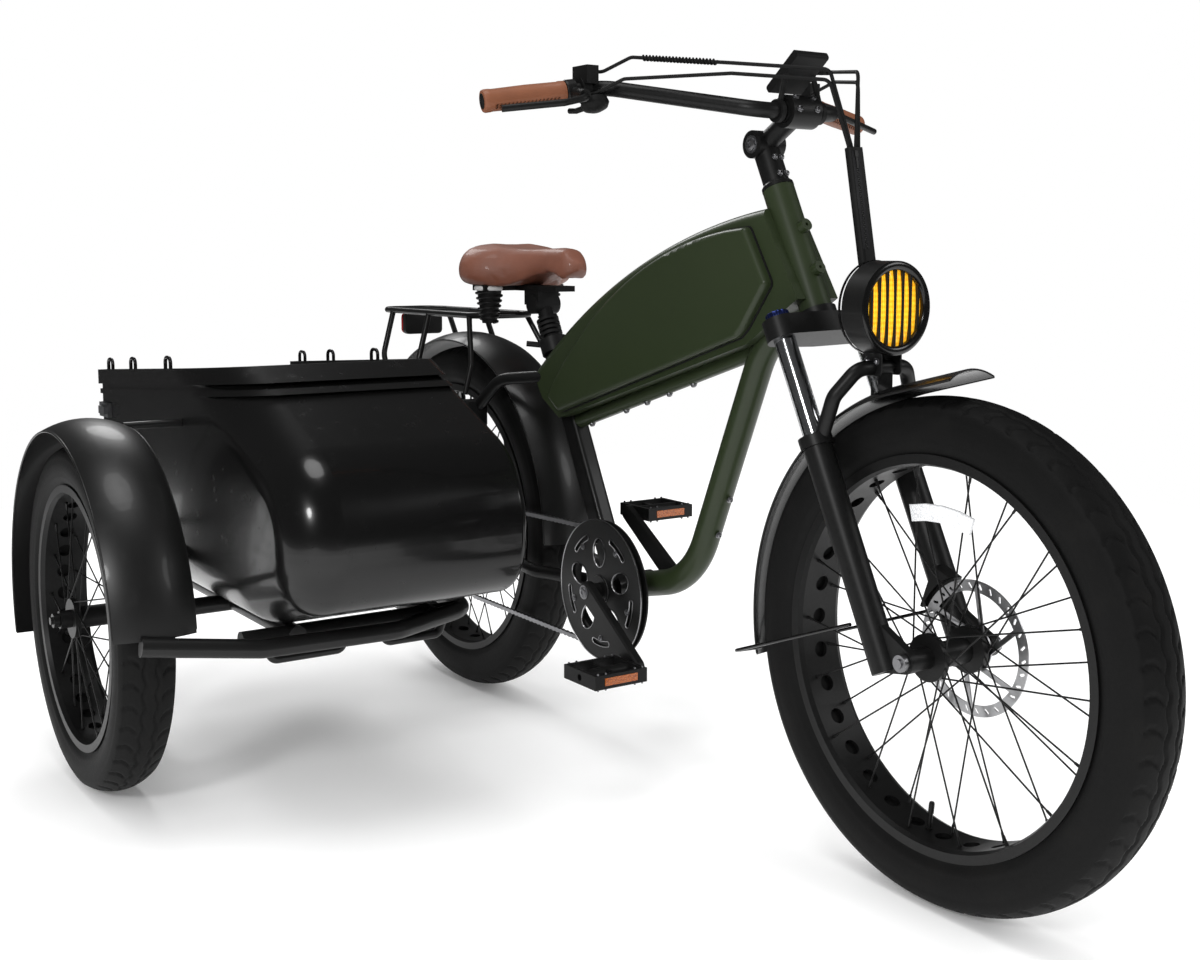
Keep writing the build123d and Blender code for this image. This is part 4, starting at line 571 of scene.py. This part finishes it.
def saddle_half_width(x):
    """Plan of the CAD saddle: lobe, hollow waist, nose."""
    if x < LOBE_END:
        return LOBE_SIDE + math.sqrt(max(0.0, LOBE_R ** 2 - (x - LOBE_X) ** 2))
    if x < NOSE_X:
        return WAIST_SIDE - math.sqrt(WAIST_R ** 2 - (x - WAIST_X) ** 2)
    return math.sqrt(max(0.0, NOSE_R ** 2 - (x - NOSE_X) ** 2))


def saddle_ring(x):
    end = min(1.0, 0.42 + 0.58 * smooth(x, SADDLE_REAR, SADDLE_REAR + 26))
    end = min(end, 0.3 + 0.7 * (1 - smooth(x, SADDLE_NOSE - 30, SADDLE_NOSE)))
    top = SADDLE_DIP + SADDLE_SWEEP - math.sqrt(SADDLE_SWEEP ** 2 - (x - SADDLE_DIP_X) ** 2)
    low = SADDLE_LOW + 24 * smooth(x, 215, 300) - 16 * smooth(x, 320, 372)
    middle = low + 0.42 * (top - low)
    low, top = middle + (low - middle) * end, middle + (top - middle) * end
    half = max(5.0, saddle_half_width(x) - 1.5)
    groove_here = 3.0 * (1 - smooth(x, 215, 290))
    ring = []
    for y, z in SADDLE_HALF_SECTION:
        dip = groove_here * smooth(z, 0.9, 1.0) * (1 - smooth(y * half, 4, 34))
        ring.append((y * half, low + (top - low) * z - dip))
    left = [Vector((x, y, z)) for y, z in ring]
    return left + [Vector((x, -y, z)) for y, z in ring[::-1] if y > 0]


saddle_xs = [SADDLE_REAR, 113, 116, 121, 128, 138, 150, 163, 176, 190, 204, 218, 232, 246, 260, 275, 290, 305]
saddle_xs += [320, 334, 346, 356, 364, 371, 376, 380, 382.5, SADDLE_NOSE]
saddle_shape = Shape()
saddle_shape.strip([saddle_ring(x) for x in saddle_xs])
saddle = saddle_shape.make("padded_saddle", "brown_leather", "frame", "brown_leather", 70)
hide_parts("saddle")


# %% [markdown]
# ## Saddle cover
# The skin is remeshed into even faces, given a little air pressure for a few frames of cloth, and stopped
# before any point has moved more than 3 mm.


# %% saddle cover
SWELL_PRESSURE, SWELL_CAP, SWELL_FRAMES, SKIN_GRID = 3.0, 0.003, 12, 0.005


def swell(piece, pressure, cap):
    """Blow a closed skin up as cloth for a moment; no point moves further than the cap."""
    scene = bpy.context.scene
    remesh = piece.modifiers.new("even", "REMESH")
    remesh.mode, remesh.voxel_size = "VOXEL", SKIN_GRID
    bpy.context.view_layer.objects.active = piece
    bpy.ops.object.modifier_apply(modifier=remesh.name)
    before = [v.co.copy() for v in piece.data.vertices]
    cloth = piece.modifiers.new("cover", "CLOTH")
    cloth.settings.use_pressure, cloth.settings.uniform_pressure_force = True, pressure
    cloth.settings.effector_weights.gravity = 0
    for number in range(1, SWELL_FRAMES + 1):
        scene.frame_set(number)
    blown = piece.evaluated_get(bpy.context.evaluated_depsgraph_get())
    after = [v.co.copy() for v in blown.data.vertices]
    piece.modifiers.remove(cloth)
    scene.frame_set(1)
    for vertex, old, new in zip(piece.data.vertices, before, after):
        move = new - old
        vertex.co = old + (move * (cap / move.length) if move.length > cap else move)
    piece.data.shade_smooth()


swell(saddle, SWELL_PRESSURE, SWELL_CAP)
even = saddle.modifiers.new("smooth", "SUBSURF")
even.levels = even.render_levels = 1
print("saddle points:", len(saddle.data.vertices))

# %% [markdown]
# ## Springs
# Two tapered coil springs stand under the saddle's lobes, each below a pale rubber ring. A coil is a helix
# whose radius grows on the way up.

# %% springs
SPRING_X, SPRING_Y, SPRING_FOOT, SPRING_HEIGHT = 176.0, 62.0, 718, 56
COIL_TURNS, COIL_STEPS, COIL_FOOT_R, COIL_GROWTH, COIL_WIRE_R = 6, 16, 14.5, 9.5, 2.5
coils, cushions = Shape(), Shape()
for side in (-1, 1):
    path = []
    for k in range(COIL_TURNS * COIL_STEPS + 1):
        share, a = k / (COIL_TURNS * COIL_STEPS), math.tau * k / COIL_STEPS
        radius = COIL_FOOT_R + COIL_GROWTH * share
        x, y = SPRING_X + radius * math.cos(a), side * SPRING_Y + radius * math.sin(a)
        path.append(Vector((x, y, SPRING_FOOT + SPRING_HEIGHT * share)))
    coils.tube(path, COIL_WIRE_R, 8)
    ring = [(775, 20), (776, 26), (779, 27.5), (783, 26.5), (784.5, 24)]
    cushions.turned(Vector((SPRING_X, side * SPRING_Y, 0)), Z, ring, 24)
coils.make("saddle_coils", "black_alloy", "frame", "black_alloy")
cushions.make("spring_cushions", "pale_plastic", "frame", "black_plastic")

# %% [markdown]
# ## Grips
# The grips are wrapped in leather that is laced along one side: the lacing is two rows of short stitches. A
# black ring locks each grip to the bar at its inner end.

# %% grips
STEM_PIVOT, STEM_LENGTH, STEM_RISE = on_axis(262), 82, math.radians(30)
BAR_CENTRE = STEM_PIVOT + Vector((STEM_LENGTH * math.cos(STEM_RISE), 0, STEM_LENGTH * math.sin(STEM_RISE)))
GRIP_START, GRIP_END = 240.0, 359.5
STITCHES, STITCH_HALF, STITCH_R = 17, 1.6, 0.8
STITCH_ROWS = ((0.42, 0.6), (0.66, 0.84))  # from angle, to angle round the grip


def along_grip(side, y, ahead=0.0, up=0.0):
    """Point on the outer run of the bar at a distance from the middle plane."""
    share = (y - 182) / 178
    return BAR_CENTRE + Vector((-215 - 43 * share + ahead, side * y, 42 - 26 * share + up))


grip_shape, lacing, lock_rings = Shape(), Shape(), Shape()
for side in (-1, 1):
    start, end = along_grip(side, GRIP_START), along_grip(side, GRIP_END)
    along = (end - start).normalized()
    length = (end - start).length
    barrel = [(0, 14.4), (1.2, 16), (9, 16.4), (12, 15.7), (60, 16.5), (length - 14, 15.8)]
    barrel += [(length - 10, 16.4), (length - 3, 16.5), (length - 0.6, 15.4), (length, 13.2)]
    grip_shape.turned(start, along, barrel, 28)
    front = (X - along * X.dot(along)).normalized()
    lift = front.cross(along) * (1 if side > 0 else -1)

    def on_grip(distance, angle, radius=16.6):
        return start + along * distance + (front * math.cos(angle) - lift * math.sin(angle)) * radius

    for k in range(STITCHES):
        here = 15 + k * (length - 32) / (STITCHES - 1)
        for low, high in STITCH_ROWS:
            ends = on_grip(here - STITCH_HALF, low), on_grip(here + STITCH_HALF, high)
            lacing.tube([ends[0], on_grip(here, (low + high) / 2, 17.1), ends[1]], STITCH_R, 6)
    lock_rings.turned(start - along * 2, along, [(-3, 13), (-3, 17), (0.5, 17.2), (2, 16.4), (2, 13)], 24)
grips = grip_shape.make("leather_grips", "brown_grip", "steering", "brown_grip", 50)
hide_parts("grips")
lacing.make("grip_lacing", "brown_thread", "steering", "brown_grip")
lock_rings.make("grip_lock_rings", "black_alloy", "steering", "black_alloy")

# %% [markdown]
# ## Seams read from the CAD model
# The line round the tank's side panels and the bright edges of the chainring's windows follow outlines that
# CAD already has. So we read them back: all triangles in one plane form a flat face, and an edge that belongs
# to only one of them lies on its border. A thin tube along each border makes the seam.


# %% border lines
def borders(node, side_y):
    """Closed lines round the flat faces of a node that lie in the plane at side_y of the drawing."""
    level = (side_y - DRAWING_ORIGIN.y) / 1000
    mesh = nodes[node].data
    seen = {}
    for face in mesh.polygons:
        corners = [mesh.vertices[i].co for i in face.vertices]
        if all(abs(p.y - level) < 3e-5 for p in corners):
            keys = [(round(p.x, 5), round(p.z, 5)) for p in corners]
            for a, b in zip(keys, keys[1:] + keys[:1]):
                seen.setdefault(frozenset((a, b)), []).append((a, b))
    following = {a: b for uses in seen.values() if len(uses) == 1 for a, b in uses}
    lines = []
    while following:
        first = next(iter(following))
        line, here = [], first
        while here in following:
            line.append(to_drawing(Vector((here[0], level, here[1]))))
            here = following.pop(here)
        lines.append(line)
    return [line for line in lines if len(line) > 5]


PANEL_FACE, GASKET_R = 38.3, 2.2
GUARD_FACE, BRIGHT_EDGE_R = -66.5, 0.9
gasket = Shape()
for side in (-1, 1):
    for line in borders("tank_panels", side * PANEL_FACE):
        gasket.tube(line, GASKET_R, 6, loop=True)
gasket.make("panel_gaskets", "black_plastic", "frame", "black_plastic")
bright = Shape()
for line in borders("chainring", GUARD_FACE):
    bright.tube(line, BRIGHT_EDGE_R, 5, loop=True)
bright.make("chainring_edges", "disc_steel", "crankset", "disc_steel")

# %% [markdown]
# ## Bolts and caps
# Bolts are where a maker's hand shows: a row under the tank, two on the down tube, four on the stem's clamp,
# pairs on the lamp's bracket, and those of chainring, cranks and discs. One table lists them all.

# %% bolts
LOW_TUBE_NORMAL = Vector((0.2977, 0, -0.9547))
LOW_TUBE_FOOT, LOW_TUBE_NECK = Vector((365.6, 0, 548)), Vector((866.0, 0, 704.0))
BOTTOM_BRACKET = Vector((541, 0, 291))
STEM_AHEAD, STEM_UP = Vector((0.866, 0, 0.5)), Vector((-0.5, 0, 0.866))
LAMP_CENTRE = on_axis(-48, 114.3)
ARCH_TOP = on_axis(-121.4, 84.4)
bolt_table = {"frame": [], "steering": [], "crankset": [], "front_wheel": [], "rear_wheel": []}
for x in (416, 518, 577, 637, 700):
    share = (x - LOW_TUBE_FOOT.x) / (LOW_TUBE_NECK.x - LOW_TUBE_FOOT.x)
    place = LOW_TUBE_FOOT.lerp(LOW_TUBE_NECK, share) + LOW_TUBE_NORMAL * 12.6
    bolt_table["frame"].append((place, LOW_TUBE_NORMAL, 4.6, 5.0))
DOWN_TUBE_FRONT = Vector((0.911, 0, -0.412))
for x, z in ((777.5, 479.0), (751.0, 420.5)):
    bolt_table["frame"].append((Vector((x, 0, z)) + DOWN_TUBE_FRONT * 20.5, DOWN_TUBE_FRONT, 4.2, 4.5))
for side in (-1, 1):
    for up in (-9, 9):
        place = BAR_CENTRE + STEM_AHEAD * 20.6 + STEM_UP * up + Y * side * 16
        bolt_table["steering"].append((place, STEM_AHEAD, 4.0, 4.5))
    bolt_table["steering"].append((STEM_PIVOT + Y * side * 23.9, Y * side, 10.0, 5.0))
    for height in (206, 232):
        bolt_table["steering"].append((on_axis(height, 18.6, side * 6), AXIS_AHEAD, 3.6, 4.5))
    for x in (-9, 9):
        bolt_table["steering"].append((ARCH_TOP + Vector((x, side * 18.8, 9)), Y * side, 3.8, 4.0))
    bolt_table["crankset"].append((BOTTOM_BRACKET + Y * side * 97.9, Y * side, 9.0, 3.5))
for k in range(5):
    a = -math.radians(72 * k + 16)
    bolt_table["crankset"].append((round_axle(BOTTOM_BRACKET, 82, a, -66.4), -Y, 4.4, 3.0))
for k in range(6):
    a = math.radians(60 * k + 20)
    bolt_table["front_wheel"].append((round_axle(FRONT_AXLE, 22, a, 47.4), Y, 3.2, 2.4))
    bolt_table["rear_wheel"].append((round_axle(REAR_AXLE, 21, a, 54.9), Y, 3.2, 2.4))
for body, rows in bolt_table.items():
    bolts = Shape()
    for place, axis, radius, height in rows:
        bolts.bolt(place, axis, radius, height)
    bolts.make(f"{body}_bolts", "steel", body, "steel")

# %% [markdown]
# ## Lamp
# The lamp gets a rounded bezel and a folded bracket. Its flat CAD lens is replaced by a domed one that comes
# forward between the bars of the grille, so that the amber fills the opening.

# %% lamp bezel, lens and bracket
LAMP_SIDES = 64
bezel = Shape()
lip = [(28.3, 57.5), (28.3, 50), (30, 50.4), (32, 53)]
crown = [(32.4, 57), (31.6, 60.4), (30.2, 61.8), (30.2, 57.5)]
bezel.turned(LAMP_CENTRE, X, lip + crown, LAMP_SIDES, loop=True)
band = [(-1.6, 61.5), (-1.6, 63), (1.6, 63), (1.6, 61.5)]
bezel.turned(LAMP_CENTRE - X * 12, X, band, LAMP_SIDES, loop=True)
bezel.make("lamp_bezel", "gloss_black", "steering", "gloss_black", 50)
dome = Shape()
dome_profile = [(13, 57.6), (20, 57.6), (23.5, 50), (25.6, 36), (26.6, 19), (26.9, 1)]
dome.turned(LAMP_CENTRE, X, dome_profile, LAMP_SIDES)
lens = dome.make("lamp_lens_dome", "amber_lens", "steering", "amber_lens", 50)
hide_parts("head_lamp_lens")
bracket = Shape()
for side in (-1, 1):
    bracket.plate(ARCH_TOP + Vector((0, side * 17.5, 6)), X, Z, rounded(36, 32, 6), 2.6)
bracket.plate(ARCH_TOP + Vector((0, 0, 20.5)), X, Y, rounded(36, 37, 3), 2.6)
bracket.make("lamp_bracket_plates", "black_alloy", "steering", "black_alloy")

# %% [markdown]
# ## Fork caps
# The right fork leg carries a blue dial with a scalloped rim, the left one a plain cap, and a conical ring
# covers the head tube's upper bearing.

# %% fork dial and headset
LEG_SIDE, LEG_TOP, HEAD_TOP = 74, -10, 190.4
dial, caps = Shape(), Shape()
dial_profile = [(-1, 15), (0.5, 17), (6, 17), (8, 15.5), (8.5, 9), (7.5, 8.5)]
dial.turned(on_axis(LEG_TOP, 0, -LEG_SIDE), AXIS_UP, dial_profile, 60, lobes=12, depth=0.1)
dial.make("damping_dial", "blue_alloy", "steering", "black_alloy", 45)
cap_profile = [(-1, 15), (0.5, 16.5), (4, 16.5), (6, 14), (6, 8), (4.5, 7.5)]
caps.turned(on_axis(LEG_TOP, 0, LEG_SIDE), AXIS_UP, cap_profile, 32)
bearing_profile = [(0, 19.4), (0, 23.4), (5, 23), (8, 20.5), (8, 19.4)]
caps.turned(on_axis(HEAD_TOP), AXIS_UP, bearing_profile, 40, loop=True)
caps.make("fork_caps", "black_alloy", "steering", "black_alloy")

# %% [markdown]
# ## Cockpit
# A dark glass lies on the tilted display, and below each end of the bar hangs a round pod with a thumb lever:
# the gear shifter on the right, a smaller switch on the left.

# %% cockpit
SCREEN_TILT = math.radians(38)
screen_up = Vector((-math.sin(SCREEN_TILT), 0, math.cos(SCREEN_TILT)))
screen_ahead = Vector((math.cos(SCREEN_TILT), 0, math.sin(SCREEN_TILT)))
screen_middle = BAR_CENTRE + Vector((-2, 0, 54)) + screen_up * 6
screen = Shape()
screen.plate(screen_middle + screen_up * 0.5, screen_ahead, Y, rounded(66, 50, 5), 2.0)
screen.make("display_glass", "screen_glass", "steering", "black_plastic")
shifter = Shape()
for side, size in ((-1, 1.0), (1, 0.75)):
    below = along_grip(side, 205, 14, -14)
    pod = [(0, 12), (2, 19), (9, 21), (15, 18), (19, 10), (20, 4)]
    shifter.turned(below, Vector((0.35, 0, -1)), [(along * size, r * size) for along, r in pod], 28)
    lever = ((-8, 6, -12), (-22, 16, -17), (-36, 18, -16))
    thumb = [below + Vector((x, side * y, z)) for x, y, z in lever]
    shifter.tube(thumb, 4.2 * size, 10)
shifter.make("shifter_pods", "black_plastic", "steering", "black_plastic", 45)

# %% [markdown]
# ## Spiral wraps
# The wires above the bar are bundled by a plastic spiral on each side: a tight helix of thin tube along the
# straight stretch of the wire.

# %% spiral wraps
WRAP_PITCH, WRAP_R, WRAP_STEPS, WRAP_START, WRAP_SHARE = 5.5, 3.5, 14, 0.12, 0.76
wraps = Shape()
for side in (-1, 1):
    wire = along_grip(side, 201.2, 8, 24)
    start, end = wire + Vector((30, -side * 44, 20)), BAR_CENTRE + Vector((-30, side * 95, 64))
    along = (end - start).normalized()
    u = along.orthogonal().normalized()
    v = along.cross(u)
    length = (end - start).length
    turns = int(length * WRAP_SHARE / WRAP_PITCH)
    path = []
    for k in range(turns * WRAP_STEPS + 1):
        a = math.tau * k / WRAP_STEPS
        here = start + along * (WRAP_START * length + WRAP_PITCH * k / WRAP_STEPS)
        path.append(here + (u * math.cos(a) + v * math.sin(a)) * WRAP_R)
    wraps.tube(path, 1.3, 5)
wraps.make("wire_wraps", "black_plastic", "steering", "black_plastic", 60)

# %% [markdown]
# ## Sleeve zip
# The wires hang in a cloth sleeve that is closed by a zip: two tapes, a row of small teeth and a slider.

# %% zip
SLEEVE_TOP, SLEEVE_FOOT = BAR_CENTRE + Vector((92, 20, -54)), LAMP_CENTRE + Vector((-37, 20, 9))
TOOTH_PITCH, ZIP_FIRST = 3, 8
zip_down = (SLEEVE_FOOT - SLEEVE_TOP).normalized()
zip_out = Y.cross(zip_down).normalized()
if zip_out.x < 0:
    zip_out = -zip_out
zip_length = (SLEEVE_FOOT - SLEEVE_TOP).length - 74
zip_shape, tape = Shape(), Shape()
zip_place = SLEEVE_TOP + zip_out * 7.6 - Y * 5
for k in range(int(zip_length / TOOTH_PITCH)):
    tooth = zip_place + zip_down * (ZIP_FIRST + TOOTH_PITCH * k) + Y * (0.5 if k % 2 else -0.5)
    zip_shape.plate(tooth, Y, zip_down, rounded(3.4, 1.7, 0.5, 2), 1.6, 0.3)
zip_shape.plate(zip_place + zip_down * 10 + zip_out * 1.4, Y, zip_down, rounded(6, 10, 2, 3), 2.2, 0.5)
zip_shape.plate(zip_place + zip_down * 22 + zip_out * 1.2, Y, zip_down, rounded(3.4, 16, 1.6, 3), 1.2, 0.3)
for y in (-4, 4):
    tape_middle = zip_place + zip_down * (zip_length / 2 + 6) + Y * y
    tape.plate(tape_middle, Y, zip_down, rounded(4.5, zip_length, 1, 2), 0.9, 0.2)
zip_shape.make("sleeve_zip", "black_alloy", "steering", "black_alloy")
tape.make("sleeve_zip_tapes", "sleeve_cloth", "steering", "black_plastic")

# %% [markdown]
# ## Mudguard edges
# A sheet-metal mudguard has a rolled edge that stiffens it: a thin tube along an arc about the axle. On the
# front mudguard it runs on along the straight flap.


# %% mudguard edges
def rolled_edge(shape, axle, radius, half, start, end, flap=0.0):
    for side in (-1, 1):
        turns = [math.radians(start + (end - start) * k / 60) for k in range(61)]
        path = [round_axle(axle, radius, a, side * half) for a in turns]
        if flap:
            first = math.radians(start)
            path.insert(0, path[0] + Vector((math.sin(first), 0, -math.cos(first))) * flap)
        shape.tube(path, 1.9, 8)


edges = Shape()
rolled_edge(edges, REAR_AXLE, 344.6, 51.6, 0.4, 185.6)
rolled_edge(edges, SIDE_AXLE, 294.6, 59.6, 6, 195.6)
edges.make("mudguard_edges", "satin_black", "frame", "gloss_black", 60)
front_edge = Shape()
rolled_edge(front_edge, FRONT_AXLE, 339.6, 39.6, 104, 191.6, 111)
front_edge.make("front_mudguard_edge", "black_paint", "steering", "black_paint", 60)

# %% [markdown]
# ## Pedal studs
# Each pedal carries eight small studs on either face, so that a shoe doesn't slip.

# %% pedal studs
CRANK_R, PEDAL_SIDE, STUD_LEVEL = 168, 150, 10.8
STUD_PROFILE = [(0, 1.9), (2.6, 1.7), (3.2, 1.1)]
for name, side, angle in (("right_pedal", -1, -34), ("left_pedal", 1, 146)):
    studs = Shape()
    middle = round_axle(BOTTOM_BRACKET, CRANK_R, math.radians(angle), side * PEDAL_SIDE)
    for x in (-40.5, 40.5):
        for y in (-41, -27, 27, 41):
            for face in (-1, 1):
                foot = middle + Vector((x, y, face * STUD_LEVEL))
                studs.turned(foot, Z * face, STUD_PROFILE, 8)
    studs.make(f"{name}_studs", "steel", name, "steel")

# %% [markdown]
# ## Tail lamp
# The tail lamp is a black housing under the rack with a red lens that faces backwards.

# %% tail lamp
TAIL_MIDDLE = Vector((-212, 0, 700.7))
housing, tail_lens = Shape(), Shape()
housing.plate(TAIL_MIDDLE + X * 4.5, Y, Z, rounded(84, 44, 9), 17, 2.5)
housing.plate(TAIL_MIDDLE - X * 4, Y, Z, rounded(80, 40, 8), 4, 0.5)
tail_lens.plate(TAIL_MIDDLE - X * 9, Y, Z, rounded(82, 42, 9), 7.6, 2.2)
for k in (-1, 0, 1):
    tail_lens.turned(TAIL_MIDDLE + Vector((-12.7, 24 * k, 0)), -X, [(-1, 9), (-0.2, 9), (0.3, 7)], 24)
lamp_back = housing.make("tail_lamp_housing", "black_plastic", "frame", "black_plastic", 40)
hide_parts("tail_lamp")
tail_lens.make("tail_lamp_lens", "red_lens", "frame", "red_lens", 40)

# %% [markdown]
# ## Studio
# A white floor that runs into a white world, four soft lights, and the camera at the photographer's place,
# found by matching wheel rims and frame points of the photograph. The floor ends a few metres out, so that
# gloss mirrors the dim studio beyond it and stays black.

# %% floor and lights
CAMERA_PLACE = to_metres(Vector((2547.2, -1421.1, 843.0)))
CAMERA_YAW, CAMERA_PITCH = math.radians(145.9615), math.radians(6.7906)
CAMERA_SENSOR, CAMERA_LENS, CAMERA_RISE = 36.0, 44.88, -0.0407
FLOOR_HALF, FLOOR_GLOW, MIRRORED_WORLD = 3.2, 0.07, 0.06
LIGHTS = (  # name, place, aim, size, power
    ("overhead", (0.1, -0.5, 3.4), (0.1, -0.3, 0), 1.5, 26),
    ("key", (2.4, -3.6, 2.6), (0, -0.2, 0.5), 0.8, 64),
    ("fill", (2.8, 2.6, 2.4), (0, 0, 0.5), 1.4, 22),
    ("back", (-3.4, 0.6, 3.0), (0, 0, 0.5), 1.4, 34),
)


def pale_floor():
    g = Graph("studio_floor")
    grain = g.noise(2.2, 4)
    g.finish(
        Base_Color=g.mix(grain, (0.95, 0.95, 0.95), (0.97, 0.97, 0.97)),
        Roughness=0.7 + grain * 0.1,
        Specular_IOR_Level=0.0,
        Emission_Color=(1.0, 1.0, 1.0),
        Emission_Strength=FLOOR_GLOW,
    )
    mesh = bpy.data.meshes.new("studio_floor")
    corners = [(x * FLOOR_HALF, y * FLOOR_HALF, 0) for x, y in ((-1, -1), (1, -1), (1, 1), (-1, 1))]
    mesh.from_pydata(corners, [], [(0, 1, 2, 3)])
    mesh.materials.append(g.material)
    floor = bpy.data.objects.new("studio_floor", mesh)
    bpy.context.scene.collection.objects.link(floor)


def area_light(name, place, aim, size, power):
    data = bpy.data.lights.new(name, "AREA")
    data.shape, data.size, data.energy = "DISK", size, power
    light = bpy.data.objects.new(name, data)
    light.location = place
    light.rotation_mode = "QUATERNION"
    light.rotation_quaternion = (Vector(aim) - Vector(place)).to_track_quat("-Z", "Y")
    bpy.context.scene.collection.objects.link(light)


def studio_world():
    """White all round, but dim where gloss mirrors it, as in a studio with black flags."""
    g = Graph("studio", "worlds", "Background")
    mirrored = g.node("ShaderNodeLightPath", output="Is Glossy Ray")
    g.finish(Color=(1.0, 1.0, 1.0), Strength=1 - mirrored * (1 - MIRRORED_WORLD))
    bpy.context.scene.world = g.material


pale_floor()
studio_world()
bpy.context.scene.view_settings.view_transform = "Standard"
for light in LIGHTS:
    area_light(*light)
print("lights:", len(LIGHTS))

# %% camera
camera_data = bpy.data.cameras.new("photo_camera")
camera_data.sensor_width, camera_data.lens = CAMERA_SENSOR, CAMERA_LENS
camera_data.shift_y = CAMERA_RISE
camera = bpy.data.objects.new("photo_camera", camera_data)
level = math.cos(CAMERA_PITCH)
look = Vector((math.cos(CAMERA_YAW) * level, math.sin(CAMERA_YAW) * level, -math.sin(CAMERA_PITCH)))
camera.location = CAMERA_PLACE
camera.rotation_mode = "QUATERNION"
camera.rotation_quaternion = look.to_track_quat("-Z", "Y")
bpy.context.scene.collection.objects.link(camera)
bpy.context.scene.camera = camera
